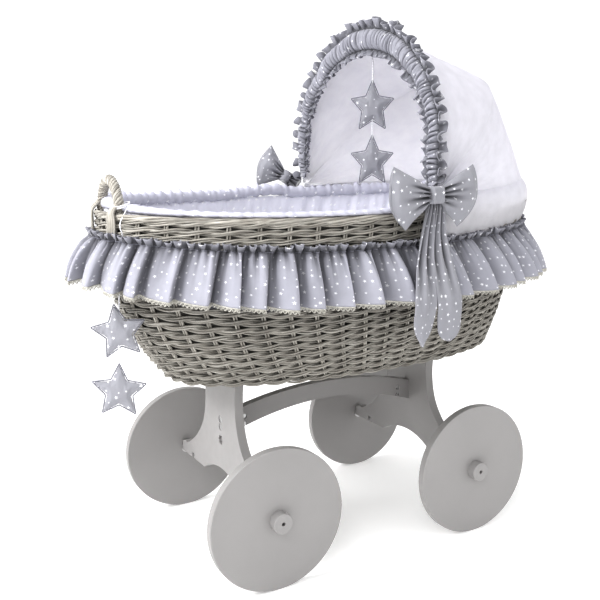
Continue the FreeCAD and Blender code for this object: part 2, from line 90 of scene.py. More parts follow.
def place_camera():
    wheels = [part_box(f"wheel_near_{end}") for end in ("foot", "head")]
    middle = sum((low[0] + high[0]) / 2 for low, high in wheels) / 2
    azimuth, elevation, roll = (math.radians(angle) for angle in CAMERA_TURN)
    level_part = math.cos(elevation)
    back = Vector((math.sin(azimuth) * level_part, -math.cos(azimuth) * level_part, math.sin(elevation)))
    right = Vector((math.cos(azimuth), math.sin(azimuth), 0.0))
    up = back.cross(right)
    side = right * math.cos(roll) + up * math.sin(roll)
    top = up * math.cos(roll) - right * math.sin(roll)
    data = bpy.data.cameras.new("camera")
    data.sensor_width = SENSOR_WIDTH
    data.lens = LENS
    camera = bpy.data.objects.new("camera", data)
    bpy.context.collection.objects.link(camera)
    turn = Matrix((side, top, back)).transposed().to_4x4()
    target = Vector((middle + CAMERA_AIM_X, 0.0, CAMERA_AIM_Z))
    camera.matrix_world = Matrix.Translation(target + back * CAMERA_DISTANCE) @ turn
    bpy.context.scene.camera = camera


# ---- mesh building ------------------------------------------------------
def build(name, verts, quads, uv, tone=None):
    """One mesh object from arrays. uv has a row per face corner, tone a value per vertex."""
    verts = np.asarray(verts, dtype=np.float32)
    quads = np.asarray(quads, dtype=np.int32)
    mesh = bpy.data.meshes.new(name)
    sides = quads.shape[1]
    mesh.vertices.add(len(verts))
    mesh.vertices.foreach_set("co", verts.ravel())
    mesh.loops.add(quads.size)
    mesh.loops.foreach_set("vertex_index", quads.ravel())
    mesh.polygons.add(len(quads))
    mesh.polygons.foreach_set("loop_start", np.arange(len(quads), dtype=np.int32) * sides)
    mesh.polygons.foreach_set("loop_total", np.full(len(quads), sides, dtype=np.int32))
    mesh.polygons.foreach_set("use_smooth", np.full(len(quads), True))
    mesh.update(calc_edges=True)
    layer = mesh.uv_layers.new(name="pattern")
    layer.data.foreach_set("uv", np.asarray(uv, dtype=np.float32).ravel())
    if tone is not None:
        layer = mesh.attributes.new("tone", "FLOAT", "POINT")
        layer.data.foreach_set("value", np.asarray(tone, dtype=np.float32).ravel())
    thing = bpy.data.objects.new(name, mesh)
    bpy.context.collection.objects.link(thing)
    return thing


def grid_faces(rows, cols, wrap_rows, wrap_cols):
    """Quads over a grid of points, and the matching corners in an unwrapped grid of coordinates."""
    i = np.arange(rows if wrap_rows else rows - 1)[:, None]
    j = np.arange(cols if wrap_cols else cols - 1)[None, :]
    i, j = np.broadcast_arrays(i, j)
    corners = [(i, j), (i + 1, j), (i + 1, j + 1), (i, j + 1)]
    quads = np.stack([(a % rows) * cols + b % cols for a, b in corners], -1).reshape(-1, 4)
    wide = cols + wrap_cols
    coords = np.stack([a * wide + b for a, b in corners], -1).reshape(-1, 4)
    return quads, coords


def grid(name, points, uv, wrap_rows=False, wrap_cols=False, flip=False, tone=None):
    """A sheet from a (rows, cols, 3) array. uv is (rows + wrap, cols + wrap, 2), in metres."""
    rows, cols = points.shape[:2]
    quads, coords = grid_faces(rows, cols, wrap_rows, wrap_cols)
    if flip:
        quads, coords = quads[:, ::-1], coords[:, ::-1]
    if tone is not None:
        tone = np.clip(np.broadcast_to(tone, (rows, cols)), 0, 1).ravel()
    return build(name, points.reshape(-1, 3), quads, uv.reshape(-1, 2)[coords.ravel()], tone)


def coordinates(u, v, shape):
    """The print's coordinates on a grid of points, from values that spread over its rows and columns."""
    return np.stack([np.broadcast_to(u, shape), np.broadcast_to(v, shape)], -1)


def shares(count):
    """Even shares of a closed way round, from 0."""
    return np.arange(count) / count


def turns(count):
    return np.arange(count) * TAU / count


def unit(v):
    return v / np.maximum(np.linalg.norm(v, axis=-1, keepdims=True), 1e-12)


PINCH = 0.15               # share of a rod's radius that is left at its ends
ROD_PATTERN = 0.02         # once round a rod in the pattern's coordinates
GRAIN_SHIFT = 3.7          # keeps one rod's grain from repeating on the next


class Gathered:
    """Many rods and sheets gathered into one mesh."""

    def __init__(self):
        self.verts, self.quads, self.uv, self.tone, self.count = [], [], [], [], 0

    def put(self, points, quads, uv, tone):
        self.verts.append(points.reshape(-1, 3))
        self.quads.append(quads + self.count)
        self.uv.append(uv)
        self.tone.append(tone)
        self.count += len(tone)

    def rod(self, path, radius, out, tone, closed=False, sides=6):
        """A round rod along a path. One that isn't closed is pinched at its ends."""
        path = np.asarray(path, dtype=float)
        count = len(path)
        if closed:
            along = np.roll(path, -1, 0) - np.roll(path, 1, 0)
        else:
            along = np.gradient(path, axis=0)
        along = unit(along)
        out = np.broadcast_to(np.asarray(out, dtype=float), path.shape)
        normal = unit(out - (out * along).sum(1)[:, None] * along)
        third = np.cross(along, normal)
        turn = turns(sides)
        radius = np.broadcast_to(np.asarray(radius, dtype=float), (count,)).copy()
        if not closed:
            radius[0] *= PINCH
            radius[-1] *= PINCH
        ring = np.cos(turn)[None, :, None] * normal[:, None] + np.sin(turn)[None, :, None] * third[:, None]
        points = path[:, None] + radius[:, None, None] * ring
        quads, coords = grid_faces(count, sides, closed, True)
        step = np.linalg.norm(np.diff(path, axis=0, append=path[:1]), axis=1)
        length = np.concatenate([[0.0], np.cumsum(step)])[: count + closed]
        around = np.arange(sides + 1) / sides * ROD_PATTERN
        uv = np.stack(np.meshgrid(length + tone * GRAIN_SHIFT, around, indexing="ij"), -1).reshape(-1, 2)
        self.put(points, quads, uv[coords.ravel()], np.full(count * sides, tone))

    def sheet(self, points, uv, tone, wrap_cols=False, flip=False):
        """A grid of points that is open between its last row and its first."""
        rows, cols = points.shape[:2]
        quads, coords = grid_faces(rows, cols, False, wrap_cols)
        if flip:
            quads, coords = quads[:, ::-1], coords[:, ::-1]
        tone = np.clip(np.broadcast_to(tone, (rows, cols)), 0, 1).ravel()
        self.put(points, quads, uv.reshape(-1, 2)[coords.ravel()], tone)

    def finish(self, name, body, material, replaces=()):
        parts = (self.verts, self.quads, self.uv, self.tone)
        piece = build(name, *(np.concatenate(part) for part in parts))
        return finish_piece(piece, body, material, replaces)


def smoothstep(x, low, high):
    t = np.clip((x - low) / (high - low), 0, 1)
    return t * t * (3 - 2 * t)


def ripples(x, rng, low, high, count=6):
    """A smooth random wave along x with wavelengths between low and high, about -1 to 1."""
    total = np.zeros_like(x, dtype=float)
    for _ in range(count):
        wave = rng.uniform(low, high)
        total += np.sin(x * TAU / wave + rng.uniform(0, TAU))
    return total / math.sqrt(count)


def wrinkles(points, rng, wave, count=7):
    """A smooth random field over points in space, about -1 to 1, of a given wavelength."""
    total = np.zeros(points.shape[:-1])
    for _ in range(count):
        way = unit(rng.normal(size=3))
        scale = TAU / (wave * rng.uniform(0.7, 1.6))
        total += np.sin(points @ way * scale + rng.uniform(0, TAU))
    return total / math.sqrt(count)


def finish_piece(thing, body, material, replaces=()):
    thing.data.materials.clear()
    thing.data.materials.append(material)
    if body:
        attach(thing, body)
    if replaces:
        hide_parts(*replaces)
    return thing


def frill(base, up, out, along, phase, rows, height, curl, overhang, warp, lean):
    """A grid for a gathered edge that stands up from a stitch line and curls from side to side."""
    layers = []
    for k in np.linspace(0, 1, rows):
        turn = math.pi * phase + 0.5 * k * warp
        sway = curl * k ** 0.8 * (np.cos(turn) + 0.25 * np.cos(2.3 * turn + 1.0))
        fold = overhang * k ** 0.8 * np.sin(2 * turn)
        rise = height * k * (1 + 0.16 * warp * k - 0.10 * k * np.cos(2 * turn))
        points = base + up * rise[:, None] + out * sway[:, None] + along * fold[:, None]
        layers.append(points + out * (lean * k))
    return np.stack(layers, 1)


def thicken(thing, thickness):
    solid = thing.modifiers.new("cloth_thickness", "SOLIDIFY")
    solid.thickness = thickness
    solid.offset = 0.0


def subdivide(thing):
    step = thing.modifiers.new("smooth", "SUBSURF")
    step.levels = 1
    step.render_levels = 1


# ---- materials ----------------------------------------------------------
def rgba(color, bright=1.0):
    return tuple(min(1.0, c * bright) for c in color) + (1,)


class Graph:
    """A material's node tree, built by name."""

    def __init__(self, name):
        self.material = bpy.data.materials.new(name)
        self.material.use_nodes = True
        self.tree = self.material.node_tree
        self.shader = self.tree.nodes["Principled BSDF"]

    def feed(self, socket, value):
        if isinstance(value, bpy.types.NodeSocket):
            self.tree.links.new(value, socket)
        else:
            socket.default_value = value

    def node(self, kind, inputs=(), **settings):
        made = self.tree.nodes.new("ShaderNode" + kind)
        for key, value in settings.items():
            setattr(made, key, value)
        for key, value in dict(inputs).items():
            self.feed(made.inputs[key], value)
        return made

    def math(self, operation, a, b=0.0):
        return self.node("Math", {0: a, 1: b}, operation=operation).outputs[0]

    def mix(self, share, a, b):
        made = self.node("Mix", data_type="RGBA")
        for socket, value in zip((made.inputs[0], made.inputs[6], made.inputs[7]), (share, a, b)):
            self.feed(socket, value)
        return made.outputs[2]

    def noise(self, scale, detail=2.0, vector=None, rough=0.5):
        inputs = {"Scale": scale, "Detail": detail, "Roughness": rough}
        if vector is not None:
            inputs["Vector"] = vector
        return self.node("TexNoise", inputs).outputs["Fac"]

    def stretch(self, low, high, value, out_low=0.0, out_high=1.0):
        inputs = {"Value": value, "From Min": low, "From Max": high, "To Min": out_low, "To Max": out_high}
        return self.node("MapRange", inputs).outputs[0]

    def bump(self, height, distance, strength=1.0, under=None):
        inputs = {"Height": height, "Distance": distance, "Strength": strength}
        if under is not None:
            inputs["Normal"] = under
        return self.node("Bump", inputs).outputs[0]

    def surface(self, inputs):
        """Sets or links the shader's own inputs."""
        for key, value in inputs.items():
            self.feed(self.shader.inputs[key], value)
        return self.material

    def pattern(self):
        return self.node("UVMap", uv_map="pattern").outputs[0]

    def place(self):
        return self.node("TexCoord").outputs["Object"]


STAR_EDGE = (0.23, 0.67)   # the way that a printed star's edge faces, between a tip and a notch
STAR_BLUR = 0.035          # half the width over which its edge fades
STAR_COVER = 0.85
# painted shade: the cloth is drawn darker in the bottom of a crease
PAINTED_CREASE_SHADE = 0.34         # share of the cloth's brightness that is left in the bottom of a crease
THREADS = 260.0


def star_mask(g, where, cell, small, large):
    """White where a scattered five-pointed star covers the cloth."""
    cells = g.node("TexVoronoi", {"Vector": where, "Scale": 1 / cell, "Randomness": 0.72},
                   voronoi_dimensions="2D", feature="F1")
    local = g.node("VectorMath", {0: where, 1: cells.outputs["Position"]}, operation="SUBTRACT").outputs[0]
    xyz = g.node("SeparateXYZ", {0: local})
    luck = g.node("SeparateColor", {0: cells.outputs["Color"]})
    bearing = g.math("ARCTAN2", xyz.outputs[1], xyz.outputs[0])
    turn = g.math("ADD", bearing, g.math("MULTIPLY", luck.outputs[0], TAU))
    size = g.stretch(0.0, 1.0, luck.outputs[1], small, large)
    reach = g.math("DIVIDE", g.node("VectorMath", {0: local}, operation="LENGTH").outputs["Value"], size)
    fold = g.math("PINGPONG", turn, math.pi / 5)
    across = g.math("MULTIPLY", reach, g.math("COSINE", fold))
    beside = g.math("MULTIPLY", reach, g.math("SINE", fold))
    outwards = g.math("MULTIPLY", g.math("SUBTRACT", across, 1.0), STAR_EDGE[0])
    edge = g.math("ADD", outwards, g.math("MULTIPLY", beside, STAR_EDGE[1]))
    return g.stretch(-STAR_BLUR, STAR_BLUR, edge, STAR_COVER, 0.0)


def cloth(name, color, stars=None, cell=0.0185, small=0.0018, large=0.0042, fine=1.0, sheen=0.15, thin=0.0):
    """Woven cotton, with or without printed stars. thin is the share of light it lets through."""
    g = Graph(name)
    where = g.pattern()
    shade = g.stretch(0.3, 0.7, g.noise(28.0, 3.0, where), 0.0, 1.0)
    base = g.mix(shade, rgba(color, 0.955), rgba(color, 1.03))
    if stars is not None:
        base = g.mix(star_mask(g, where, cell, small, large), base, rgba(stars))
    # tone is 1 in the bottom of a crease, where the cloth is drawn darker: painted shade
    crease = g.node("Attribute", attribute_name="tone").outputs["Fac"]
    left = g.stretch(0.0, 1.0, crease, 1.0, PAINTED_CREASE_SHADE)
    base = g.node("HueSaturation", {"Value": left, "Color": base}).outputs[0]
    threads = {"Vector": where, "Scale": THREADS, "Distortion": 0.6, "Detail": 1.0}
    warp, weft = (g.node("TexWave", threads, bands_direction=way).outputs["Fac"] for way in "XY")
    weave_height = g.math("ADD", warp, weft)
    soft = g.bump(g.noise(42.0, 4.0, where), 0.0035 * fine, 0.55)
    relief = g.bump(weave_height, 0.00018, 0.35, soft)
    if thin:
        through = g.node("BsdfTranslucent", {"Color": base, "Normal": relief})
        both = g.node("MixShader", {0: thin, 1: g.shader.outputs[0], 2: through.outputs[0]})
        g.feed(g.tree.nodes["Material Output"].inputs["Surface"], both.outputs[0])
    return g.surface({"Base Color": base, "Normal": relief, "Roughness": 0.86, "Sheen Weight": sheen,
                      "Sheen Roughness": 0.5, "Specular IOR Level": 0.25})


def willow(name, dark=0.76, light=1.36):
    """Grey weathered willow. tone runs from a dark rod at 0 to a light one at 1."""
    g = Graph(name)
    tone = g.node("Attribute", attribute_name="tone").outputs["Fac"]
    where = g.pattern()
    long = g.node("Mapping", {"Vector": where, "Scale": (14.0, 190.0, 1.0)}).outputs[0]
    streak = g.noise(1.0, 4.0, long, 0.65)
    blotch = g.noise(34.0, 3.0, where)
    mixed = g.math("ADD", g.math("MULTIPLY", streak, 0.62), g.math("MULTIPLY", blotch, 0.38))
    ramp = g.node("ValToRGB", {"Fac": g.stretch(0.33, 0.66, mixed)})
    stops = ramp.color_ramp.elements
    stops[0].position, stops[0].color = 0.0, (0.135, 0.120, 0.100, 1)
    stops[1].position, stops[1].color = 1.0, (0.56, 0.54, 0.50, 1)
    for at, color in ((0.30, (0.27, 0.25, 0.222, 1)), (0.62, (0.405, 0.388, 0.352, 1))):
        stops.new(at).color = color
    lift = g.stretch(0.0, 1.0, tone, dark, light)
    grey = g.node("HueSaturation", {"Saturation": 0.9, "Value": lift, "Color": ramp.outputs[0]}).outputs[0]
    return g.surface({"Base Color": grey, "Normal": g.bump(streak, 0.0007, 0.7),
                      "Roughness": g.stretch(0.3, 0.7, blotch, 0.42, 0.66), "Specular IOR Level": 0.42})


def painted(name, color):
    g = Graph(name)
    where = g.place()
    patch = g.noise(5.0, 3.0, where)
    base = g.mix(g.stretch(0.35, 0.65, patch), rgba(color, 0.965), rgba(color, 1.02))
    peel = g.bump(g.noise(420.0, 2.0, where), 0.00022, 0.35)
    return g.surface({"Base Color": base, "Normal": g.bump(g.noise(30.0, 2.0, where), 0.0008, 0.12, peel),
                      "Roughness": g.stretch(0.3, 0.7, g.noise(60.0, 2.0, where), 0.44, 0.56)})


def metal(name, color, rough, metallic=1.0):
    g = Graph(name)
    where = g.place()
    marks = g.noise(90.0, 3.0, where)
    return g.surface({"Base Color": g.mix(marks, rgba(color, 0.82), rgba(color)),
                      "Roughness": g.stretch(0.3, 0.7, marks, rough * 0.8, rough * 1.2),
                      "Normal": g.bump(g.noise(600.0, 2.0, where), 0.0001, 0.3), "Metallic": metallic})


def thread(name, color):
    g = Graph(name)
    waves = {"Vector": g.place(), "Scale": 120.0, "Distortion": 1.5}
    twist = g.node("TexWave", waves, bands_direction="DIAGONAL").outputs["Fac"]
    return g.surface({"Base Color": g.mix(twist, rgba(color, 0.8), rgba(color)),
                      "Normal": g.bump(twist, 0.0003, 0.5), "Roughness": 0.8})


WHITE = (0.93, 0.93, 0.96)
STAR_GREY = cloth("star_cloth", (0.43, 0.43, 0.48), WHITE)
# the star cloth made darker, as painted shade for the ruffles' folds
RUFFLE_SHADED_GREY = cloth("ruffle_cloth_painted_shade", (0.38, 0.38, 0.42), WHITE, cell=0.021)
PADDED_GREY = cloth("padded_star_cloth", (0.36, 0.36, 0.39), WHITE)
ROLL_CLOTH = cloth("roll_cloth", (0.58, 0.58, 0.65), (0.97, 0.97, 0.98),
                   cell=0.034, small=0.0030, large=0.0085)
LINING_CLOTH = cloth("lining_cloth", (0.82, 0.82, 0.885), (0.99, 0.99, 1.0),
                     cell=0.024, small=0.0024, large=0.0050)
CANOPY = cloth("canopy_cotton", (0.86, 0.853, 0.89), fine=0.7, sheen=0.1, thin=0.4)
HOOD_LINING = cloth("hood_lining_cotton", (0.97, 0.963, 0.985), fine=0.9, sheen=0.1, thin=0.4)
MATTRESS_CLOTH = cloth("mattress_cotton", (0.90, 0.90, 0.90), fine=1.2)
LACE = thread("lace_thread", (0.60, 0.585, 0.54))
CORD = thread("cord_thread", (0.86, 0.86, 0.89))
PIPING = thread("piping_thread", (0.26, 0.26, 0.30))
WILLOW = willow("willow")
# a very dark willow colour for the sheets behind the weaving: painted shade in its gaps
WEAVE_GAP_SHADOW = willow("weave_gap_shadow", 0.22, 0.40)
PAINT = painted("grey_paint", (0.375, 0.366, 0.364))
ZINC = metal("zinc", (0.72, 0.72, 0.72), 0.32)
DARK_STEEL = metal("dark_steel", (0.10, 0.10, 0.105), 0.4)
BLACK = metal("black_plastic", (0.018, 0.018, 0.019), 0.5, 0.0)
BARE_WOOD = painted("bare_wood", (0.55, 0.43, 0.29))
HOOP_WHITE = painted("hoop_lacquer", (0.78, 0.78, 0.79))


def dress_cad_nodes():
    groups = (
        (PAINT, ["end_panel_foot", "end_panel_head", "arched_stretcher"]),
        (ZINC, ["stretcher_bolts", "stretcher_barrel_nuts", "axle_clips", "axle_screws", "spacer_washers",
                "bracket_screws", "hinge_pins", "hinge_brackets"]),
        (DARK_STEEL, ["axle_rods"]),
        (BARE_WOOD, ["locating_pegs"]),
        (HOOP_WHITE, ["hood_front_hoop", "hood_middle_hoop", "hood_rear_hoop"]),
        (PAINT, [n for n in nodes if n.startswith(("wheel_near", "wheel_far", "hub_cap"))]),
        (BLACK, [n for n in nodes if n.startswith("wheel_bush")]),
    )
    for material, names in groups:
        for name in names:
            slots = nodes[name].material_slots
            if len(slots) == 0:
                nodes[name].data.materials.append(material)
            for slot in slots:
                slot.material = material


# ---- the basket's form --------------------------------------------------
def hull(z):
    """Middle x, half length and half width of the wicker body's outer face at a height."""
    rise = np.clip((z - BASE_Z) / (RIM_TOP - BASE_Z), 0, 1)
    foot = BASE_FOOT_X + (RIM_FOOT_X - BASE_FOOT_X) * (1 - (1 - rise) ** FOOT_FLARE)
    head = BASE_HEAD_X + (RIM_HEAD_X - BASE_HEAD_X) * rise
    half_y = BASE_HALF_Y + (RIM_HALF_Y - BASE_HALF_Y) * (1 - (1 - rise) ** SIDE_FLARE)
    return (foot + head) / 2, (head - foot) / 2, half_y


SMALLEST = 1e-9            # keeps an oval that shrinks to a point from dividing by nothing


def oval(mid_x, half_x, half_y, share, power=PLAN_POWER):
    """Points and outward directions on an oval, evenly along it. Share 0 is the foot, 0.25 the near side."""
    turn = np.linspace(math.pi, 3 * math.pi, 2401)
    x = np.sign(np.cos(turn)) * np.abs(np.cos(turn)) ** (2 / power) * half_x
    y = np.sign(np.sin(turn)) * np.abs(np.sin(turn)) ** (2 / power) * half_y
    length = np.concatenate([[0], np.cumsum(np.hypot(np.diff(x), np.diff(y)))])
    at = (np.asarray(share) % 1.0) * length[-1]
    px, py = np.interp(at, length, x), np.interp(at, length, y)
    wide, deep = max(half_x, SMALLEST), max(half_y, SMALLEST)
    way = np.stack([
        np.sign(px) * np.abs(px / wide) ** (power - 1) / wide,
        np.sign(py) * np.abs(py / deep) ** (power - 1) / deep,
        np.zeros_like(px)], -1)
    return np.stack([px + mid_x, py, np.zeros_like(px)], -1), unit(way), length[-1]


def boat(x, foot, head):
    """How much a level line of the basket rises towards its two ends."""
    return np.where(x < 0, foot * np.abs(x / 0.48) ** 2.2, head * np.abs(x / 0.48) ** 2.2)


FOOT_RISES, HEAD_RISES = (0, 0.036, 0.013), (0, 0.014, 0.008)      # at the base, the openwork and the rim


def level(z):
    """The rise at the foot end and at the head end of the wicker at a height."""
    heights = (BASE_Z, OPEN_LOW, RIM_TOP)
    return np.interp(z, heights, FOOT_RISES), np.interp(z, heights, HEAD_RISES)


def wall(z, share, inset):
    mid_x, half_x, half_y = hull(z)
    points, out, length = oval(mid_x, half_x - inset, half_y - inset, share)
    foot, head = level(z)
    points[:, 2] = z + boat(points[:, 0], foot, head)
    return points, out, length


# ---- wicker -------------------------------------------------------------
WALL_MIDDLE = 0.0058       # from the outer face to the middle of the woven wall
STAKE_RADIUS, ROD, BORDER_ROD, SPOKE = 0.0020, 0.0021, 0.0027, 0.0024      # radii
WAY_ROUND = 2.1            # about how far it is round the basket


def twined_rows(name, heights, node, seed, rise, bright):
    """Rows of two weavers, each a pair of rods, that cross between one stake and the next."""
    rng = np.random.default_rng(seed)
    rods = Gathered()
    share = np.arange(STAKES * 8) / (STAKES * 8)
    for z in heights:
        points, out, length = wall(z, share, WALL_MIDDLE)
        for strand in (0, 1):
            phase = math.pi * STAKES * share + math.pi * strand
            sway = 0.0004 * ripples(share * length, rng, 0.06, 0.25)
            for side in (-1, 1):
                wander = 0.00045 * ripples(share * length, rng, 0.05, 0.2)
                radius = ROD * (1 + 0.10 * ripples(share * length, rng, 0.15, 0.6)) * rng.uniform(0.9, 1.1)
                path = points + out * (0.0037 * np.cos(phase) + sway + 0.0004 * side)[:, None]
                path = path + UP * (rise * np.sin(phase) + side * 0.0020 + wander)[:, None]
                rods.rod(path, radius, out, rng.uniform(0.15, 0.9) * bright, closed=True)
    rods.finish(name, "basket", WILLOW, [node])


def weave():
    lower = np.linspace(BASE_Z + 0.006, OPEN_LOW - 0.001, 10)
    # painted shade: the lower band's rods are drawn darker than the upper band's
    twined_rows("lower_weaving", lower, "lower_weave", 11, 0.0036, 0.5)
    upper = np.linspace(OPEN_HIGH + 0.004, 0.6640, 9)
    twined_rows("upper_weaving", upper, "upper_weave", 12, 0.0032, 1.0)
    for name, low, high in (("lower", BASE_Z + 0.004, OPEN_LOW - 0.002), ("upper", OPEN_HIGH + 0.002, 0.664)):
        weaving_shadow_sheet(name, low, high)
    rng = np.random.default_rng(13)
    stakes(rng)
    rolled_border(rng)
    woven_base(rng)


def weaving_shadow_sheet(name, low, high):
    """A thin dark sheet behind a woven band, seen through its gaps: painted shade in the gaps."""
    share = shares(480)
    heights = np.linspace(low, high, 22)
    rows = []
    for z in heights:
        points, out, _ = wall(z, share, WALL_MIDDLE + 0.0050)
        rows.append(points + out * (0.0006 * np.sin(math.pi * STAKES * share + z * 900))[:, None])
    uv = coordinates(np.linspace(0, WAY_ROUND, 481)[:, None], heights, (481, 22))
    back = grid(f"{name}_weaving_shadow_sheet", np.stack(rows, 1), uv, wrap_rows=True)
    thicken(back, 0.0010)
    finish_piece(back, "basket", WEAVE_GAP_SHADOW)


def stakes(rng):
    rods = Gathered()
    heights = np.linspace(BASE_Z + 0.001, 0.672, 22)
    for i in range(STAKES):
        for side in (-1, 1):
            path = []
            for z in heights:
                share = np.array([i / STAKES + side * 0.0022 / WAY_ROUND])
                point, out, _ = wall(z, share, WALL_MIDDLE)
                path.append(point[0])
            path = np.array(path)
            path[:, 2] += rng.uniform(-0.001, 0.001)
            rods.rod(path, STAKE_RADIUS * rng.uniform(0.9, 1.12), out[0], rng.uniform(0.2, 0.8))
    rods.finish("stakes", "basket", WILLOW, ["wall_stakes"])


def rolled_border(rng):
    rods = Gathered()
    share, strands = shares(720), 4
    points, out, length = wall(RIM_TOP, share, 0.0052)
    points[:, 2] -= 0.0055
    for i in range(strands):
        turn = TAU * (11 * share + i / strands)
        wander = 0.0006 * ripples(share * length, rng, 0.05, 0.3)
        sway = (0.0036 * np.cos(turn)) + wander
        path = points + out * sway[:, None] + UP * (0.0034 * np.sin(turn))[:, None]
        rods.rod(path, BORDER_ROD * rng.uniform(0.9, 1.1), out, rng.uniform(0.3, 1.0), closed=True)
    rods.finish("rolled_border", "basket", WILLOW, ["rim_border"])


def woven_base(rng):
    """Rings of paired rods over and under spokes that lie across the basket."""
    rods = Gathered()
    mid_x, half_x, half_y = hull(BASE_Z)
    share = shares(150)
    floor_z = BASE_Z + 0.0055
    for k in range(17):
        inset = 0.010 + k * 0.0092
        points, out, _ = oval(mid_x, half_x - inset, half_y - inset, share)
        sticks = points[:, 0] * TAU / 0.055
        points[:, 2] = floor_z + 0.0022 * np.sin(sticks + math.pi * (k % 2))
        for side in (-1, 1):
            rods.rod(points + out * side * ROD, ROD, UP, rng.uniform(0.2, 0.8), closed=True)
    for i in range(-7, 7):
        x = mid_x + (i + 0.5) * 0.0497
        reach = (half_y - 0.008) * math.sqrt(max(0.02, 1 - ((x - mid_x) / (half_x - 0.006)) ** 2))
        y = np.linspace(-reach, reach, 12)
        for side in (-1, 1):
            path = np.stack([np.full(12, x + side * 0.0026), y, np.full(12, floor_z)], -1)
            rods.rod(path, SPOKE, UP, rng.uniform(0.2, 0.8))
    rods.finish("woven_base", "basket", WILLOW, ["basket_base"])


TWIST = 0.040              # along a handle in one turn of its rods
WRAP_TOP = 0.692


def handle_path(x, sink):
    """The middle line of a handle, from the foot of its near leg to that of its far one."""
    turn = np.linspace(math.pi, 0, 49)
    arch = np.stack([np.full(49, x), HANDLE_HALF_Y * np.cos(turn), 0.679 + HANDLE_RISE * np.sin(turn)], -1)
    z = np.linspace(sink, 0.676, 10)[:-1]
    near, far = (np.stack([np.full(9, x), np.full(9, side * HANDLE_HALF_Y), z], -1) for side in (-1, 1))
    return np.concatenate([near, arch, far[::-1]])


def handles():
    rng = np.random.default_rng(21)
    for name, x, _ in HANDLES:
        middle = handle_path(x, 0.667)
        fine = np.linspace(0, len(middle) - 1, 320)
        path = np.stack([np.interp(fine, np.arange(len(middle)), middle[:, k]) for k in range(3)], -1)
        along = unit(np.gradient(path, axis=0))
        flat = np.array([1.0, 0, 0])
        other = np.cross(along, flat)
        step = np.concatenate([[0], np.cumsum(np.linalg.norm(np.diff(path, axis=0), axis=1))])
        rods = Gathered()
        for i in range(6):
            turn = TAU * (step / TWIST + i / 6)
            outward = flat * np.cos(turn)[:, None] + other * np.sin(turn)[:, None]
            radius = 0.0029 * rng.uniform(0.93, 1.07)
            rods.rod(path + outward * 0.0063, radius, outward, rng.uniform(0.3, 0.95), sides=8)
        rods.rod(path, 0.0042, flat, 0.2, sides=8)
        rods.finish(f"twisted_handle_{name}", "basket", WILLOW, [f"handle_{name}"])
    handle_wraps()


def handle_wraps():
    """Rods that come down from each handle leg and bind it to the outside of the wall."""
    rng = np.random.default_rng(22)
    rods = Gathered()
    for _, x, out in HANDLES:
        for side in (-1, 1):
            for i in range(5):
                shift = (i - 2) * 0.0050
                path = []
                for z in np.linspace(0.628, WRAP_TOP, 24):
                    down = (WRAP_TOP - z) / 0.064
                    y = side * HANDLE_HALF_Y + shift * (0.75 + 0.25 * down)
                    y = y + side * 0.004 * math.sin(down * math.pi)
                    mid_x, half_x, half_y = hull(min(z, 0.674))
                    reach = (1 - (abs(y) / half_y) ** PLAN_POWER) ** (1 / PLAN_POWER) * half_x
                    face = mid_x + out * (reach + 0.0036)
                    over = float(smoothstep(np.array(z), 0.668, WRAP_TOP))
                    lift = float(boat(np.array(face), *level(z)))
                    bow = out * 0.0035 * math.sin(math.pi * over)
                    path.append([face * (1 - over) + (x + out * 0.005) * over + bow, y, z + lift])
                radius = 0.0025 * rng.uniform(0.9, 1.1)
                rods.rod(np.array(path), radius, (out, 0, 0.2), rng.uniform(0.4, 1.0))
    rods.finish("handle_leg_wraps", "basket", WILLOW, ["handle_wraps"])


# ---- bedding ------------------------------------------------------------
QUILT = 0.09               # from one quilted line to the next, along the mattress


def bedding():
    mattress_pad()
    rng = np.random.default_rng(31)
    star_lining(rng)
    padded_roll(rng)


def mattress_pad():
    """A pad with rounded edges and a light quilting."""
    share = shares(180)
    rows = []
    z_low, z_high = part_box("mattress")[0][2] + 0.002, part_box("mattress")[1][2] - 0.001
    for z, inset in ((z_low, 0.06), (z_low, 0.030), (z_low + 0.006, 0.024), (z_low + 0.020, 0.022),
                     (z_high - 0.014, 0.022), (z_high - 0.004, 0.026), (z_high, 0.033)):
        mid_x, half_x, half_y = hull(z)
        points, _, _ = oval(mid_x, half_x - inset, half_y - inset, share)
        points[:, 2] = z
        rows.append(points)
    for k in np.linspace(0.93, 0.0, 24):
        points, _, _ = oval(mid_x, (half_x - 0.033) * k, (half_y - 0.033) * k, share)
        one, other = (points[:, 0] * math.pi / QUILT, points[:, 1] * math.pi / QUILT)
        quilt = np.abs(np.sin(one + other)) * np.abs(np.sin(one - other))
        points[:, 2] = z_high - 0.0015 + 0.0026 * np.sqrt(quilt)
        rows.append(points)
    sheet = np.stack(rows, 1)
    uv = np.concatenate([sheet, sheet[:1]])[..., :2]
    pad = grid("mattress_pad", sheet, uv, wrap_rows=True)
    finish_piece(pad, "basket", MATTRESS_CLOTH, ["mattress"])


def star_lining(rng):
    """The basket's inside wall in star cloth, from the roll down to the mattress."""
    count = 560
    share = shares(count)
    heights = np.linspace(0.4275, 0.683, 24)
    pucker = ripples(share * WAY_ROUND, rng, 0.02, 0.05, 8)
    rows, lengths = [], []
    for z, k in zip(heights, np.linspace(0.3, 1.9, 24)):
        above_openwork = float(smoothstep(z, 0.54, 0.57))
        near_mattress = float(smoothstep(-z, -0.500, -0.440))
        inset = 0.0165 + 0.003 * above_openwork + 0.016 * near_mattress
        points, out, length = wall(min(z, RIM_TOP), share, inset)
        points[:, 2] += max(0.0, z - RIM_TOP)
        lengths.append(length)
        rows.append(points - out * (0.0012 * pucker * k)[:, None])
    around = np.linspace(0, 1, count + 1)[:, None] * np.array(lengths)[None, :]
    uv = coordinates(around, heights * 1.08, around.shape)
    inside = grid("star_lining", np.stack(rows, 1), uv, wrap_rows=True)
    thicken(inside, 0.0015)
    finish_piece(inside, "basket", LINING_CLOTH, ["lining"])


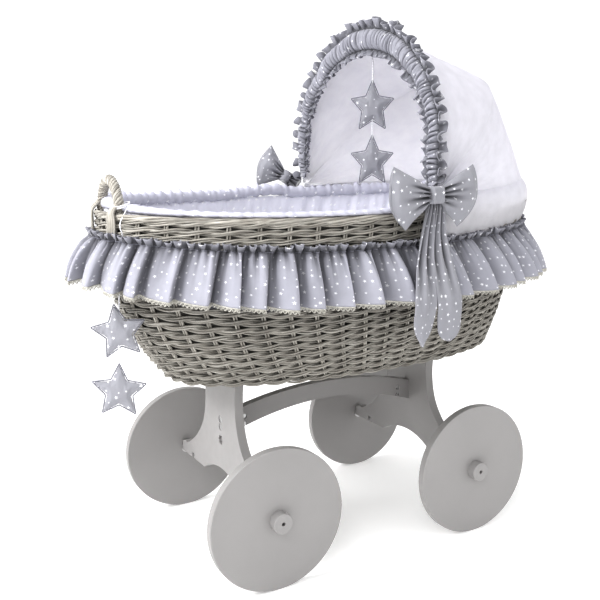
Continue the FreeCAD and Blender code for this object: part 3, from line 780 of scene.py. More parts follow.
def padded_roll(rng):
    """The padded top of the lining, low on the near side and fuller on the far one."""
    count, around = 1000, 22
    share = shares(count)
    mid_x, half_x, half_y = hull(RIM_TOP)
    points, out, length = oval(mid_x, half_x - 0.0275, half_y - 0.0165, share)
    x = points[:, 0]
    far = smoothstep(points[:, 1], -0.20, 0.10)
    centre_z = 0.6800 + boat(x, *level(RIM_TOP)) + 0.0095 * far
    centre_z = centre_z + 0.008 * far * smoothstep(x, -0.16, -0.01) * (1 - smoothstep(x, 0.0, 0.05))
    gather = ripples(share * length, rng, 0.014, 0.030, 8)
    half_w = 0.0135 + 0.0007 * gather
    half_h = 0.0052 + 0.0075 * far + (0.0004 + 0.0012 * far) * gather
    turn = turns(around)
    ring = points[:, None] + out[:, None] * (half_w[:, None] * np.cos(turn))[:, :, None]
    puff = 1 + 0.10 * (np.sin(turn) > 0) * gather[:, None]
    ring[:, :, 2] = centre_z[:, None] + half_h[:, None] * np.sin(turn) * puff
    u = (np.arange(count + 1) / count * length)[:, None]
    uv = coordinates(u, np.linspace(0, 0.075, around + 1), (count + 1, around + 1))
    roll = grid("padded_roll", ring, uv, wrap_rows=True, wrap_cols=True, flip=True)
    finish_piece(roll, "basket", ROLL_CLOTH, ["lining_roll"])


# ---- skirt --------------------------------------------------------------
def pleat_phase(share, rng, pleats):
    """Maps the way round to pleat numbers of uneven width."""
    widths = rng.uniform(0.58, 1.42, pleats)
    edges = np.concatenate([[0], np.cumsum(widths)]) / widths.sum()
    return np.interp(share, edges, np.arange(pleats + 1))


PLEATS, HEADING_CURLS = 50, 236
STITCH_Z, HEM_Z = 0.6165, 0.5265           # at the middle of each side
SKIRT_DEEP = 0.112


def skirt():
    rng = np.random.default_rng(41)
    count, rows = 3200, 32
    share = shares(count)
    phase = pleat_phase(share, rng, PLEATS)
    number = np.floor(phase).astype(int) % PLEATS
    part = phase - np.floor(phase)
    depth = rng.uniform(0.75, 1.3, PLEATS)[number]
    skew = rng.uniform(1.5, 2.7, PLEATS)[number]
    top, top_out, top_length = oval(-0.006, 0.4775, 0.2515, share, 2.15)
    hem, hem_out, hem_length = oval(-0.003, 0.5215, 0.3010, share, 2.1)
    tall = np.linspace(0, 1, rows)
    small = ripples(share * top_length, rng, 0.009, 0.018, 8)
    medium = ripples(share * top_length, rng, 0.018, 0.045, 7)
    hem_wave = ripples(share * hem_length, rng, 0.25, 0.7, 4)
    ridge = np.clip(np.sin(math.pi * part ** skew), 0, None) ** 0.62
    second = np.sin(TAU * part * 2 + number)

    def at(k):
        """Points, their outward and sideways directions and their painted shade, at a share of the way down.
        """
        grown = k ** 0.55
        base = top * (1 - k) + hem * k
        out = unit(top_out * (1 - k) + hem_out * k)
        along = np.cross(UP, out)
        top_z = STITCH_Z + boat(top[:, 0], 0.026, 0.012)
        low_z = HEM_Z + boat(hem[:, 0], 0.034, 0.008) + 0.002 * hem_wave
        wave = (ridge - 0.62) * depth * (0.0062 + 0.0200 * grown)
        puckers = 0.0022 * second * grown + 0.0036 * medium * smoothstep(k, -0.01, 0.15)
        wave = wave + puckers * (1 - 0.75 * k)
        wave = wave + 0.0034 * small * np.exp(-5 * k)
        slide = 0.013 * grown * depth * (ridge ** 3 - 0.35)
        sag = 0.007 * math.sin(math.pi * k)
        points = base + out * (wave + sag)[:, None] + along * slide[:, None]
        points[:, 2] = top_z * (1 - k) + low_z * k - 0.003 * k * (ridge - 0.5)
        # painted shade: darker in the pleats' valleys, just under the heading, and in the gathers below it
        valley = np.clip(1.05 - ridge, 0, 1) ** 1.4 * (0.95 - 0.25 * k) + 0.55 * np.exp(-11 * k)
        gathers = 0.75 * np.clip(-small, 0, 1) + 0.3 * np.clip(-medium, 0, 1)
        return points, out, along, valley + gathers * np.exp(-3.5 * k)

    levels = [at(k) for k in tall]
    sheet = np.stack([points for points, _, _, _ in levels], 1)
    crease_shading = np.stack([dark for _, _, _, dark in levels], 1)
    steps = np.linalg.norm(np.diff(np.concatenate([sheet, sheet[:1]]), axis=0), axis=2)
    u = np.concatenate([np.zeros((1, rows)), np.cumsum(steps.mean(1))[:, None] * np.ones((1, rows))])
    uv = coordinates(u, -(tall * SKIRT_DEEP), u.shape)
    piece = grid("pleated_skirt", sheet, uv, wrap_rows=True, flip=True, tone=crease_shading)
    thicken(piece, 0.0012)
    finish_piece(piece, "basket", STAR_GREY, ["skirt"])

    # the gathered heading above the stitch line
    base, out, along, _ = levels[0]
    curls = pleat_phase(share, rng, HEADING_CURLS)
    warp = ripples(share * top_length, rng, 0.03, 0.08, 5)
    height = np.full(count, 0.0125)
    sheet = frill(base - UP * 0.001, UP, out, along, curls, 8, height, 0.0056, 0.0040, warp, 0.0030)
    uv = coordinates(u[:, :1] * 1.5, np.linspace(0, 0.012, 8), (count + 1, 8))
    # painted shade: darker down at the stitch line and in the curls' hollows
    dark = np.linspace(0.95, 0.0, 8)[None, :] + 0.35 * (1 - np.cos(math.pi * curls))[:, None] - 0.1
    piece = grid("skirt_heading", sheet, uv, wrap_rows=True, tone=dark)
    thicken(piece, 0.0010)
    finish_piece(piece, "basket", RUFFLE_SHADED_GREY)

    # the drawn thread that holds the gathers
    rods = Gathered()
    line = base + out * (0.0012 + 0.0008 * small)[:, None] - UP * 0.0004
    rods.rod(line[::2], 0.0009, out[::2], 0.5, closed=True, sides=4)
    rods.finish("skirt_gathering_thread", "basket", PIPING)
    hem_lace(*levels[-1][:2])


SCALLOP = 0.0085           # along the hem from one scallop of the lace to the next


def hem_lace(hem_points, out):
    """Three threads along the hem: a band on it, a scalloped edge below, and a wavy net between."""
    loops = np.concatenate([hem_points, hem_points[:1]])
    length = np.concatenate([[0], np.cumsum(np.linalg.norm(np.diff(loops, axis=0), axis=1))])
    fine = 16000
    at_length = np.arange(fine) / fine * length[-1]
    base = np.stack([np.interp(at_length, length, loops[:, k]) for k in range(3)], -1)
    outward = np.stack([np.interp(at_length, length, np.append(out[:, k], out[0, k])) for k in range(3)], -1)
    scallops = round(length[-1] / SCALLOP)
    edge = 0.0022 + 0.0052 * np.abs(np.sin(math.pi * scallops * np.arange(fine) / fine))
    net = 0.0004 + edge * 0.5 * (1 + np.sin(TAU * scallops * 2 * np.arange(fine) / fine))
    rods = Gathered()
    for drop, radius, step, sides in ((edge, 0.00075, 1, 4), (net, 0.00060, 1, 4), (0.0012, 0.0011, 3, 5)):
        path = base[::step].copy()
        path[:, 2] -= drop
        rods.rod(path, radius, outward[::step], 0.5, closed=True, sides=sides)
    rods.finish("hem_lace", "basket", LACE, ["skirt_lace"])


# ---- hood ---------------------------------------------------------------
def arch(size, count, foot, grow=0.0):
    """Points (y, height) evenly along a three-centred arch, from its near foot to its far foot."""
    half_span, spring, side_radius, rise = size
    half_span, side_radius, rise = half_span + grow, side_radius + grow, rise + grow
    offset, crown = half_span - side_radius, rise - spring
    top_radius = (offset ** 2 + crown ** 2 - side_radius ** 2) / (2 * (crown - side_radius))
    top = np.array([0.0, rise - top_radius])
    side = np.array([offset, spring])
    way = (side - top) * (1 if side_radius < top_radius else -1)
    bend = math.atan2(way[1], way[0])
    leg = [(half_span, h) for h in np.linspace(foot, spring, 30)[:-1]]
    first = [(side[0] + side_radius * math.cos(a), side[1] + side_radius * math.sin(a))
             for a in np.linspace(0, bend, 60)]
    last = [(top_radius * math.cos(a), top[1] + top_radius * math.sin(a))
            for a in np.linspace(bend, math.pi / 2, 60)[1:]]
    half = np.array(leg + first + last)
    whole = np.concatenate([half * (-1, 1), half[::-1][1:]])
    length = np.concatenate([[0], np.cumsum(np.linalg.norm(np.diff(whole, axis=0), axis=1))])
    at = np.linspace(0, length[-1], count)
    return np.stack([np.interp(at, length, whole[:, 0]), np.interp(at, length, whole[:, 1])], -1), length[-1]


def raised(flat, angle, forward=0.0):
    """From an arch's own plane to the hood, at an angle above the horizontal."""
    a = math.radians(angle)
    reach = np.stack([math.cos(a) * flat[..., 1], flat[..., 0], math.sin(a) * flat[..., 1]], -1)
    shift = np.asarray(forward)[..., None] * np.array([-math.sin(a), 0.0, math.cos(a)])
    return reach + shift + PIVOT


OVER_HOOP, UNDER_HOOP = 0.0062, -0.0052    # from a hoop's middle line to the canopy and to its lining


def canopy_panel(name, first, last, rows, count, seed, bulge, folds, gap=OVER_HOOP):
    """Cloth stretched between two hoops, with slack folds. Each hoop is its size, its angle and its foot."""
    rng = np.random.default_rng(seed)
    flat, length = arch(first[0], count, first[2], gap)
    a = raised(flat, first[1])
    b = raised(arch(last[0], count, last[2], gap)[0], last[1])
    share = np.linspace(0, 1, rows)
    sheet = a[None] * (1 - share)[:, None, None] + b[None] * share[:, None, None]
    out = unit(sheet - (PIVOT + np.array([0.05, 0, 0])))
    swell = np.sin(math.pi * share)[:, None]
    slack = swell ** 0.7
    w = np.linspace(-1, 1, count)[None, :]
    crease = wrinkles(sheet * np.array([1.0, 0.55, 1.0]), rng, 0.12)
    crease = np.sign(crease) * np.abs(crease) ** 0.8
    fine = wrinkles(sheet, rng, 0.045)
    sides = smoothstep(np.abs(w), 0.35, 0.95)
    # long folds that fan out of the hinge at each side
    turn = np.arctan2(sheet[..., 2] - PIVOT[2], np.abs(sheet[..., 0] - PIVOT[0]) + 0.02)
    fan = np.sin(turn * 9.0 + rng.uniform(0, TAU)) + 0.6 * np.sin(turn * 17.0 + rng.uniform(0, TAU))
    fan = fan * smoothstep(np.abs(w), 0.45, 0.8) * (1 - smoothstep(np.abs(w), 0.9, 1.0) * 0.6)
    lift = bulge * swell + folds * slack * ((0.25 + sides) * crease + 0.55 * fan)
    lift = lift + 0.0007 * slack * (0.4 + sides) * fine
    sheet = sheet + out * lift[:, :, None]
    v = (share * np.linalg.norm(b[count // 2] - a[count // 2]))[:, None]
    return grid(name, sheet, coordinates(np.linspace(0, length, count), v, (rows, count)))


def hood():
    at_front = (FRONT_HOOP, FRONT_ANGLE - 3.0)         # just behind the ruffle
    at_middle = (MIDDLE_HOOP, MIDDLE_ANGLE)
    at_rear = (REAR_HOOP, REAR_ANGLE)
    front = canopy_panel("canopy_front_panel", (*at_front, 0.012), (*at_middle, 0.010),
                         60, 220, 51, 0.002, 0.0026)
    finish_piece(front, "", CANOPY, ["canopy_front"])
    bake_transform(front)

    # the hood's own lining hides the hoops from inside
    rear_inside = (REAR_HOOP, REAR_ANGLE - 1.0)
    for name, low, high, bodies in (("front", at_middle, at_front, ("hood_middle", "hood_front")),
                                    ("rear", rear_inside, at_middle, ("basket", "hood_middle"))):
        lining = canopy_panel(f"hood_lining_{name}", (*high, 0.012), (*low, 0.010),
                              40, 200, 54, 0.004, 0.0022, UNDER_HOOP)
        finish_piece(lining, "", HOOD_LINING)
        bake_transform(lining)

    rear = canopy_panel("canopy_rear_panel", (*at_middle, 0.010), (*at_rear, 0.010),
                        50, 220, 52, 0.005, 0.0034)
    finish_piece(rear, "", CANOPY, ["canopy_rear"])
    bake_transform(rear)
    canopy_skirting()
    hood_ruffle()


def canopy_skirting():
    """The cloth below the rear hoop, tucked behind the skirt's heading."""
    rng = np.random.default_rng(53)
    count, rows = 260, 44
    flat, length = arch(REAR_HOOP, count, 0.010, OVER_HOOP)
    top = raised(flat, REAR_ANGLE)
    share = np.linspace(0.285, 0.715, count)
    rim, rim_out, _ = oval(0.00275, 0.4815, 0.2475, share, 2.12)
    rim[:, 2] = 0.690 + boat(rim[:, 0], 0.0, 0.006)
    over_handle = np.exp(-((rim[:, 1] / 0.10) ** 2))
    rim = rim + rim_out * (0.0155 + 0.013 * over_handle)[:, None]
    tuck, _, _ = oval(-0.006, 0.4745, 0.2470, share, 2.12)
    tuck[:, 2] = 0.622 + boat(tuck[:, 0], 0.0, 0.012)
    k = np.linspace(0, 1, rows)[:, None, None]
    sheet = (1 - k) ** 2 * top[None] + 2 * k * (1 - k) * rim[None] + k ** 2 * tuck[None]
    swell = np.sin(math.pi * k[..., 0]) ** 0.7
    crease = wrinkles(sheet * np.array([1, 1, 0.5]), rng, 0.07)
    sheet = sheet + rim_out[None] * ((0.002 * swell + 0.0024 * swell * crease)[:, :, None])
    uv = coordinates(np.linspace(0, length, count), k[..., 0] * 0.09, (rows, count))
    drop = grid("canopy_skirting", sheet, uv)
    finish_piece(drop, "basket", CANOPY, ["canopy_drop"])


RUFFLE_OUTSIDE = (0.262, 0.100, 0.172, 0.342)      # given like a hoop
RUFFLE_INSIDE = (0.216, 0.100, 0.128, 0.270)
RUFFLE_GATHERS = 88


def hood_ruffle():
    rng = np.random.default_rng(61)
    count, around = 2000, 28
    outer, length = arch(RUFFLE_OUTSIDE, count, 0.020)
    inner, _ = arch(RUFFLE_INSIDE, count, 0.020)
    share = np.linspace(0, 1, count)
    ends = np.clip(np.minimum(share, 1 - share) / 0.03, 0.3, 1)
    phase = pleat_phase(share, rng, RUFFLE_GATHERS)
    part = phase - np.floor(phase)
    number = np.minimum(np.floor(phase).astype(int), RUFFLE_GATHERS - 1)
    depth = rng.uniform(0.5, 1.4, RUFFLE_GATHERS)[number]
    low_seam = inner * 0.80 + outer * 0.20
    high_seam = inner * 0.24 + outer * 0.76
    way = unit(outer - inner)
    fine = ripples(share * length, rng, 0.008, 0.016, 8)
    broad = ripples(share * length, rng, 0.05, 0.12, 5)
    warp = ripples(share * length, rng, 0.05, 0.1, 4)
    turn = turns(around)
    centre = (high_seam + low_seam) / 2
    half = np.linalg.norm(high_seam - low_seam, axis=1) / 2
    forward = raised(np.zeros((count, 2)), FRONT_ANGLE, np.ones(count)) - PIVOT

    rows, dark = [], []
    for a in turn:
        q = math.cos(a)                     # 1 at the outer stitch line, -1 at the inner one
        face = math.sin(a)
        lag = 0.3 * warp * q + 0.12 * q * q
        fold = np.abs(np.sin(math.pi * (part + lag))) ** 0.5 - 0.62
        radial = half * q
        puff = 0.0105 * face * (1 + 0.22 * broad)
        crease = face * (0.0115 * fold * depth + 0.0014 * fine)
        # painted shade in the hollows of the gathers and along both stitch lines, under the frills
        dark.append(np.clip(0.22 - fold, 0, 1) ** 0.9 * (0.6 + 0.6 * depth) + 0.55 * abs(q) ** 8)
        flat = centre + way * radial[:, None]
        rows.append(raised(flat, FRONT_ANGLE, (puff + crease) * ends))
    uv = coordinates((share * length * 1.9)[:, None], np.linspace(0, 0.10, around + 1), (count, around + 1))
    ring, dark = np.stack(rows, 1), np.stack(dark, 1)
    piece = grid("hood_gathered_band", ring, uv, wrap_cols=True, flip=True, tone=dark)
    finish_piece(piece, "hood_front", RUFFLE_SHADED_GREY, ["hood_ruffle"])

    # the frills that stand outside and inside the two stitch lines
    for name, seam, sign, waves, height, curl, lean in (
            ("outer", high_seam, 1, 66, 0.0170, 0.0112, 0.003),
            ("inner", low_seam, -1, 84, 0.0118, 0.0076, 0.005)):
        base = raised(seam, FRONT_ANGLE)
        up = (raised(way, FRONT_ANGLE) - PIVOT) * sign
        along = np.cross(forward, up)
        curls = pleat_phase(share, rng, waves)
        mix = ripples(share * length, rng, 0.03, 0.09, 5)
        tall = height * (1 + 0.12 * mix) * ends
        sheet = frill(base, up, forward, along, curls, 12, tall, curl, 0.0042, mix, lean)
        uv = coordinates((share * length * 2.0)[:, None], np.linspace(0, height, 12), (count, 12))
        # painted shade: darker down at the stitch line and in the curls' hollows
        dark = np.linspace(0.9, 0.0, 12)[None, :] ** 1.5 + 0.24 * (1 - np.cos(math.pi * curls))[:, None]
        piece = grid(f"hood_{name}_frill", sheet, uv, tone=dark)
        thicken(piece, 0.0010)
        finish_piece(piece, "hood_front", RUFFLE_SHADED_GREY)


# ---- bows ---------------------------------------------------------------
# across a loop from its bottom edge at -1 to its top edge at 1: a groove's middle, its width, and its depth
GROOVES = ((-0.62, 0.075, 0.9), (-0.22, 0.100, 1.3), (0.20, 0.080, 1.0), (0.52, 0.095, 1.2))


def settle_bow(points, sign):
    """Puts points given about a bow's knot in place. The far bow is smaller and tipped, its foot side up."""
    points = points.copy()
    if sign > 0:
        tip = math.radians(FAR_BOW_TIP)
        x, z = points[..., 0] * 0.66, points[..., 2] * 0.88
        points[..., 1] += 0.30 * np.maximum(-x, 0)
        points[..., 0] = x * math.cos(tip) + z * math.sin(tip)
        points[..., 2] = z * math.cos(tip) - x * math.sin(tip) + 0.014
    points[..., 0] += BOW[0]
    points[..., 1] = np.maximum(points[..., 1] + 0.2785, 0.2655)
    points[..., 2] += BOW[2]
    points[..., 1] *= sign
    return points


def bow_loops(name, sign, seed):
    rng = np.random.default_rng(seed)
    count, tall = 64, 84
    around = turns(tall)
    loops = Gathered()
    for way, corner_x, middle_x, tip_x in ((-1, 0.092, 0.100, 0.066), (1, 0.086, 0.096, 0.052)):
        a = np.linspace(0.0, 1.0, count)[:, None]      # 0 at the knot, 1 at the loop's end
        b = np.cos(around)[None, :]                    # 1 at the top edge, -1 at the bottom edge
        front = np.sin(around)[None, :]                # sign of the face
        outer_x = middle_x - (middle_x - corner_x) * (b > 0) * b ** 2 - (middle_x - tip_x) * (b < 0) * b ** 2
        outer_z = 0.004 + 0.049 * np.where(b > 0, b, 0) + 0.064 * np.where(b < 0, b, 0)
        inner_x, inner_z = 0.011 + 0 * b, 0.0125 * b
        x = inner_x + (outer_x - inner_x) * a
        spread = a ** (0.86 + 0.14 * a)
        z = inner_z + (outer_z - inner_z) * spread
        body = np.sqrt(np.clip(1 - b ** 2, 0, 1)) ** 0.8
        swell = 0.0080 + 0.0060 * np.sin(math.pi * np.clip(a * 0.85 + 0.10, 0, 1)) ** 0.8
        swell = swell * (1 - smoothstep(a, 0.84, 1.0) * 0.55)
        y = front * swell * body / np.maximum(np.abs(front), 0.35) ** 0.25
        # painted shade: darker next to the knot and in the grooves
        dark = np.clip(0.55 - 2.2 * a, 0, 1) + 0 * b
        for centre, width, deep in GROOVES:
            middle = centre + rng.uniform(-0.05, 0.05)
            reach = rng.uniform(0.70, 1.05)
            fade = (1 - smoothstep(a, 0.06, reach)) * smoothstep(a, -0.08, 0.06)
            groove = deep * fade * np.exp(-((b - middle) / width) ** 2)
            y = y - np.sign(front) * 0.0115 * groove
            dark = dark + 0.75 * groove
        y = y + 0.0014 * np.sin(a * 9 + way) * np.sin(b * 5 + 1.0)
        points = np.stack(np.broadcast_arrays(way * x, y, z), -1)
        uv = np.stack(np.broadcast_arrays(way * x * 1.05 + 0.3, z * 1.05 + 0 * front), -1)
        # the loop's end is closed by two more rings
        close = points[-1:].mean(axis=1, keepdims=True)
        cap = points[-1:] * 0.5 + close * 0.5
        cap[..., 0] += way * 0.0012
        tip = np.broadcast_to(close + np.array([way * 0.0015, 0, 0]), cap.shape)
        points = np.concatenate([points, cap, tip])
        uv, dark = (np.concatenate([m, m[-1:], m[-1:]]) for m in (uv, dark))
        uv = np.concatenate([uv, uv[:, :1]], 1)
        loops.sheet(settle_bow(points, sign), uv, dark, wrap_cols=True, flip=way * sign > 0)
    piece = loops.finish(f"bow_{name}", "basket", PADDED_GREY, [f"bow_loops_{name}"])


def bow_knot(name, sign):
    tall, count = 26, 40
    rows = []
    for t in np.linspace(-1, 1, tall):
        turn = turns(count)
        power = 3.0                     # a squarer tube than a round one
        c, s = np.cos(turn), np.sin(turn)
        x = np.sign(c) * np.abs(c) ** (2 / power) * (0.0158 + 0.0018 * t * t)
        y = np.sign(s) * np.abs(s) ** (2 / power) * 0.0135
        y = y + np.where(s > 0, 0.0018 * np.cos(x / 0.0158 * 9.0), 0.0)
        end = (1 - abs(t) ** 6) ** 0.5 if abs(t) < 1 else 0.0
        z = np.full(count, t * 0.0155)
        rows.append(np.stack([x * (0.72 + 0.28 * end), y * (0.5 + 0.5 * end), z], -1))
    rows.insert(0, rows[0] * 0.0 + rows[0].mean(0))
    rows.append(rows[-1] * 0.0 + rows[-1].mean(0))
    points = settle_bow(np.stack(rows), sign)
    uv = np.stack([points[..., 0], points[..., 2]], -1)
    uv = np.concatenate([uv, uv[:, :1]], 1)
    piece = grid(f"bow_band_{name}", points, uv, wrap_cols=True, flip=sign < 0)
    finish_piece(piece, "basket", PADDED_GREY, [f"bow_knot_{name}"])


TAILS = (
    # along the tail: share of its length, middle x, half width; then the height of its tip
    (((0, 0.051, 0.007), (0.18, 0.040, 0.0115), (0.42, 0.022, 0.0195), (0.66, 0.006, 0.0245),
      (0.84, -0.001, 0.022), (0.94, -0.001, 0.013), (1.0, -0.002, 0.001)), 0.446),
    (((0, 0.068, 0.007), (0.18, 0.066, 0.0125), (0.42, 0.061, 0.0215), (0.66, 0.057, 0.0275),
      (0.84, 0.057, 0.027), (0.94, 0.057, 0.025), (1.0, 0.056, 0.024)), 0.4505),
)
TAIL_TOP = 0.694
TAIL_HEIGHTS = (0.44, 0.525, 0.60, 0.645, 0.70)
TAIL_REACH = (0.3235, 0.3235, 0.288, 0.2725, 0.2690)       # sideways from the middle, at those heights


def bow_tails(name, sign):
    """Both tails of a bow, from the knot down over the skirt."""
    rows, cols = 70, 34
    k = np.linspace(0, 1, rows)
    b = np.linspace(-1, 1, cols)[None, :]
    tails = Gathered()
    for order, (shape, tip_z) in enumerate(TAILS):
        shape = np.array(shape)
        line = np.stack([np.interp(k, shape[:, 0], shape[:, column]) for column in (1, 2)])
        middle, half = (np.convolve(row, np.ones(7) / 7, "valid")
                        for row in np.pad(line, ((0, 0), (3, 3)), mode="edge"))
        half = half * np.sqrt(np.clip(1 - ((k - 0.90) / 0.1005).clip(0, 1) ** 2, 0.002, 1))
        z = TAIL_TOP + (tip_z - TAIL_TOP) * k
        y = np.interp(z, TAIL_HEIGHTS, TAIL_REACH)
        y = np.convolve(np.pad(y, 4, mode="edge"), np.ones(9) / 9, "valid")
        fold = np.cos(b * TAU * 1.05 + 0.8 * order) * (1 - smoothstep(k, 0.25, 0.85))[:, None]
        curl = (b ** 2) * -0.004 * smoothstep(k, 0.2, 0.7)[:, None]
        valley = -0.003 * np.exp(-((b - 0.25 + 0.5 * order) / 0.25) ** 2) * np.sin(math.pi * k)[:, None]
        x = middle[:, None] + half[:, None] * b + 0.001 * np.sin(k * 11 + order)[:, None]
        depth = y[:, None] + 0.0056 * fold + curl + valley + 0.002 * order + 0.003
        # painted shade in the folds' hollows and near the knot
        dark = np.clip(0.15 - fold, 0, 1) ** 1.2 * 1.25 * (1 - smoothstep(k, 0.3, 0.8))[:, None]
        dark = dark + 0.5 * np.clip(0.20 - k, 0, 1)[:, None] / 0.20
        points = np.stack(np.broadcast_arrays(x, depth, z[:, None] + 0 * b), -1)
        points[..., 1] *= sign
        tails.sheet(points, coordinates(b * 0.032 + order * 0.2, (k * 0.27)[:, None], (rows, cols)), dark)
    piece = tails.finish(f"bow_ribbons_{name}", "basket", PADDED_GREY, [f"bow_tails_{name}"])
    thicken(piece, 0.0022)


def bows():
    for order, (name, sign) in enumerate((("near", -1), ("far", 1))):
        bow_loops(name, sign, 71 + order)
        bow_knot(name, sign)
        bow_tails(name, sign)


# ---- stars and their cords ----------------------------------------------
STAR_RIGHT = np.array([math.cos(math.radians(-30)), math.sin(math.radians(-30)), 0.0])
STAR_FACE = np.array([STAR_RIGHT[1], -STAR_RIGHT[0], 0.0])


def star_outline(radius, tilt, shrink=0.0):
    corners = []
    for i in range(10):
        reach = (radius if i % 2 == 0 else radius * 0.5) - shrink
        turn = math.radians(90 + 36 * i + tilt)
        corners.append((reach * math.cos(turn), reach * math.sin(turn)))
    return np.array(corners)


def along_outline(corners, steps):
    """Points on each side of a closed outline, at given shares of the side."""
    points = []
    for p, q in zip(corners, np.roll(corners, -1, 0)):
        points += [p + (q - p) * t for t in steps]
    return np.array(points)


# how the stars' cloth simulation runs: voxel size, pressure, how far a point may move, and frames
STAR_VOXEL, STAR_PRESSURE, STAR_SWELL, STAR_FRAMES = 0.0024, 3.0, 0.0046, 20


def simulate(thing):
    """Swells a closed star with Blender's cloth, and keeps each point within STAR_SWELL of where it was."""
    remesh = thing.modifiers.new("even", "REMESH")
    remesh.mode = "VOXEL"
    remesh.voxel_size = STAR_VOXEL
    bake(thing)
    start = read_points(thing)
    pad = thing.modifiers.new("cloth", "CLOTH")
    pad.settings.use_pressure = True
    pad.settings.uniform_pressure_force = STAR_PRESSURE
    pad.settings.effector_weights.gravity = 0.0
    pad.settings.quality = 5
    pad.settings.tension_stiffness = 12
    pad.settings.bending_stiffness = 0.6
    scene = bpy.context.scene
    for number in range(1, STAR_FRAMES + 1):
        scene.frame_set(number)
    moved = read_points(thing, evaluated=True)
    thing.modifiers.remove(pad)
    scene.frame_set(1)
    shift = moved - start
    size = np.linalg.norm(shift, axis=1, keepdims=True)
    shift *= np.minimum(1.0, STAR_SWELL / np.maximum(size, 1e-9))
    thing.data.vertices.foreach_set("co", (start + shift).astype(np.float32).ravel())
    thing.data.update()
    for face in thing.data.polygons:
        face.use_smooth = True


def bake(thing):
    """Applies an object's modifiers to its mesh."""
    depsgraph = bpy.context.evaluated_depsgraph_get()
    mesh = bpy.data.meshes.new_from_object(thing.evaluated_get(depsgraph))
    old = thing.data
    thing.modifiers.clear()
    thing.data = mesh
    bpy.data.meshes.remove(old)


def read_points(thing, evaluated=False):
    source = thing
    if evaluated:
        source = thing.evaluated_get(bpy.context.evaluated_depsgraph_get())
    mesh = source.data
    found = np.empty(len(mesh.vertices) * 3, dtype=np.float32)
    mesh.vertices.foreach_get("co", found)
    return found.reshape(-1, 3).astype(float)


def lay_pattern(thing, right, up):
    """Lays coordinates in metres for the cloth's print, straight across a flat pad."""
    mesh = thing.data
    points = read_points(thing)
    flat = np.stack([points @ np.asarray(right), points @ np.asarray(up)], -1)
    corners = np.empty(len(mesh.loops), dtype=np.int32)
    mesh.loops.foreach_get("vertex_index", corners)
    layer = mesh.uv_layers.get("pattern") or mesh.uv_layers.new(name="pattern")
    layer.data.foreach_set("uv", flat[corners].astype(np.float32).ravel())


def star_pad(name, centre, radius, tilt, body, node, tall=1.0):
    """A stuffed star: a flat star blown up by cloth simulation, with a piped seam."""
    dense = along_outline(star_outline(radius, tilt, 0.0010) * np.array([1, tall]), np.linspace(0, 1, 7)[:-1])
    rings = 7
    layers = []
    for side in (1, -1):
        for k in (np.linspace(0, 1, rings) if side > 0 else np.linspace(1, 0, rings)):
            depth = 0.0018 * side
            flat = dense * k
            layers.append(centre + flat[:, :1] * STAR_RIGHT + flat[:, 1:] * UP + STAR_FACE * depth)
    points = np.stack(layers)
    uv = np.zeros((len(layers), len(dense) + 1, 2))        # lay_pattern() fills these in
    piece = grid(name, points, uv, wrap_cols=True)
    simulate(piece)
    lay_pattern(piece, STAR_RIGHT, UP)
    subdivide(piece)
    finish_piece(piece, body, PADDED_GREY, [node])

    rods = Gathered()
    path = along_outline(star_outline(radius, tilt) * np.array([1, tall]), (0.03, 0.25, 0.5, 0.75, 0.97))
    path = centre + path[:, :1] * STAR_RIGHT + path[:, 1:] * UP
    rods.rod(path, 0.0011, STAR_FACE, 0.5, closed=True)
    return piece, rods.finish(f"{name}_piping", body, PIPING)


CORD_DIAMETER = 0.0025


def cord_curve(name, route, body, replaces):
    data = bpy.data.curves.new(name, "CURVE")
    data.dimensions = "3D"
    data.bevel_depth = CORD_DIAMETER / 2
    data.bevel_resolution = 3
    data.resolution_u = 10
    line = data.splines.new("NURBS")
    line.points.add(len(route) - 1)
    for point, place in zip(line.points, route):
        point.co = (*place, 1.0)
    line.order_u = 3
    line.use_endpoint_u = True
    thing = bpy.data.objects.new(name, data)
    bpy.context.collection.objects.link(thing)
    data.materials.append(CORD)
    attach(thing, body)
    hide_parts(*replaces)
    return thing


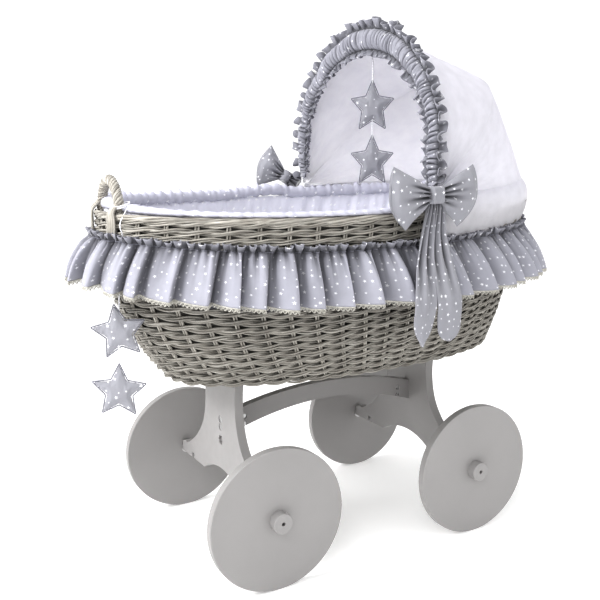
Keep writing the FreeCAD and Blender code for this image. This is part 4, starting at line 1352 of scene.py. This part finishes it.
def hanging_things():
    x, y, top = MOBILE_TOP
    mobile = []
    for name, z in zip(("upper", "lower"), MOBILE_STARS):
        mobile += star_pad(f"mobile_pad_{name}", np.array([x, y, z - 0.004]), 0.0465, 0.0,
                           "star_mobile", f"mobile_star_{name}", 1.18)
    route = [(x, y, 0.9946), (x, y, 0.746)]
    ribbon = cord_curve("mobile_cord", route, "star_mobile", ["mobile_ribbon"])

    rods = Gathered()
    turn = np.linspace(0, TAU * 3, 60)
    height = top + np.linspace(-0.0022, 0.0022, 60)
    coil = np.stack([x + 0.0026 * np.cos(turn), y + 0.0026 * np.sin(turn), height], -1)
    rods.rod(coil, 0.0012, UP, 0.5)
    rods.finish("mobile_thread_knot", "mobile_top", CORD, ["mobile_knot"])

    # from the handle over the border, and down behind the skirt
    upper = [(-0.442, -0.066, 0.703), (-0.453, -0.0765, 0.690), (-0.466, -0.079, 0.671),
             (-0.459, -0.078, 0.650), (-0.4558, -0.0745, 0.632), (-0.459, -0.069, 0.592),
             (-0.4665, -0.0635, 0.558)]
    tie = cord_curve("garland_tie_cord", upper, "basket", ["garland_cord_upper"])

    def hung(z):
        return np.array([GARLAND_TOP[0] - GARLAND_LEAN * (GARLAND_TOP[2] - z), GARLAND_TOP[1], z])

    pads = []
    for name, z, tilt in zip(("upper", "lower"), GARLAND_STARS, (8.0, -3.0)):
        pads += star_pad(f"garland_pad_{name}", hung(z), 0.051, tilt, "garland", f"garland_star_{name}")
    route = [tuple(hung(GARLAND_TOP[2])), tuple(hung(GARLAND_STARS[1] - 0.020))]
    cord = cord_curve("garland_cord", route, "garland", ["garland_cord_lower"])

    # the knot and its turns round the handle's near leg
    rods = Gathered()
    turn = np.linspace(0, TAU * 2.2, 90)
    ring = np.stack([-0.451 + 0.0130 * np.cos(turn), -0.0565 + 0.0130 * np.sin(turn),
                     0.700 + np.linspace(-0.003, 0.004, 90) + 0.003 * np.cos(turn)], -1)
    rods.rod(ring, 0.00125, UP, 0.5)
    rods.finish("garland_tie_turns", "basket", CORD)


# ---- surroundings -------------------------------------------------------
def surroundings():
    half = 14.0
    points = np.array([[(x, y, 0) for y in (-half, half)] for x in (-half, half)], dtype=float)
    floor = grid("floor", points, points[..., :2])
    # a little light of its own keeps the floor white
    white = {"Base Color": (0.95, 0.95, 0.95, 1), "Roughness": 0.9, "Specular IOR Level": 0.1,
             "Emission Color": (1, 1, 1, 1), "Emission Strength": 0.16}
    floor.data.materials.append(Graph("floor_white").surface(white))

    world = bpy.data.worlds.new("studio")
    world.use_nodes = True
    tree = world.node_tree
    where = tree.nodes.new("ShaderNodeTexCoord")
    split = tree.nodes.new("ShaderNodeSeparateXYZ")
    fall = tree.nodes.new("ShaderNodeMapRange")
    tree.links.new(where.outputs["Generated"], split.inputs[0])
    tree.links.new(split.outputs["Z"], fall.inputs["Value"])
    for key, value in (("From Min", 0.30), ("From Max", 0.75), ("To Min", 0.90), ("To Max", 0.62)):
        fall.inputs[key].default_value = value
    tree.nodes["Background"].inputs["Color"].default_value = (1, 1, 1, 1)
    tree.links.new(fall.outputs[0], tree.nodes["Background"].inputs["Strength"])
    scene = bpy.context.scene
    scene.world = world
    scene.view_settings.view_transform = "Standard"
    scene.view_settings.exposure = 0.46
    scene.view_settings.gamma = 0.74

    for name, place, aim, power, width in (
        ("key", (-1.7, -2.2, 2.5), (0, 0, 0.5), 13.0, 1.0),
        ("top", (0.3, 0.4, 3.2), (0, 0, 0.6), 12.0, 1.4),
        ("foot", (-2.2, 0.05, 2.0), (0.1, 0, 0.80), 38.0, 1.0),
    ):
        data = bpy.data.lights.new(name, "AREA")
        data.energy = power
        data.size = width
        light = bpy.data.objects.new(name, data)
        bpy.context.collection.objects.link(light)
        light.location = place
        light.rotation_euler = (Vector(aim) - Vector(place)).to_track_quat("-Z", "Y").to_euler()


place_camera()
dress_cad_nodes()
hanging_things()
weave()
handles()
bedding()
skirt()
hood()
bows()
surroundings()
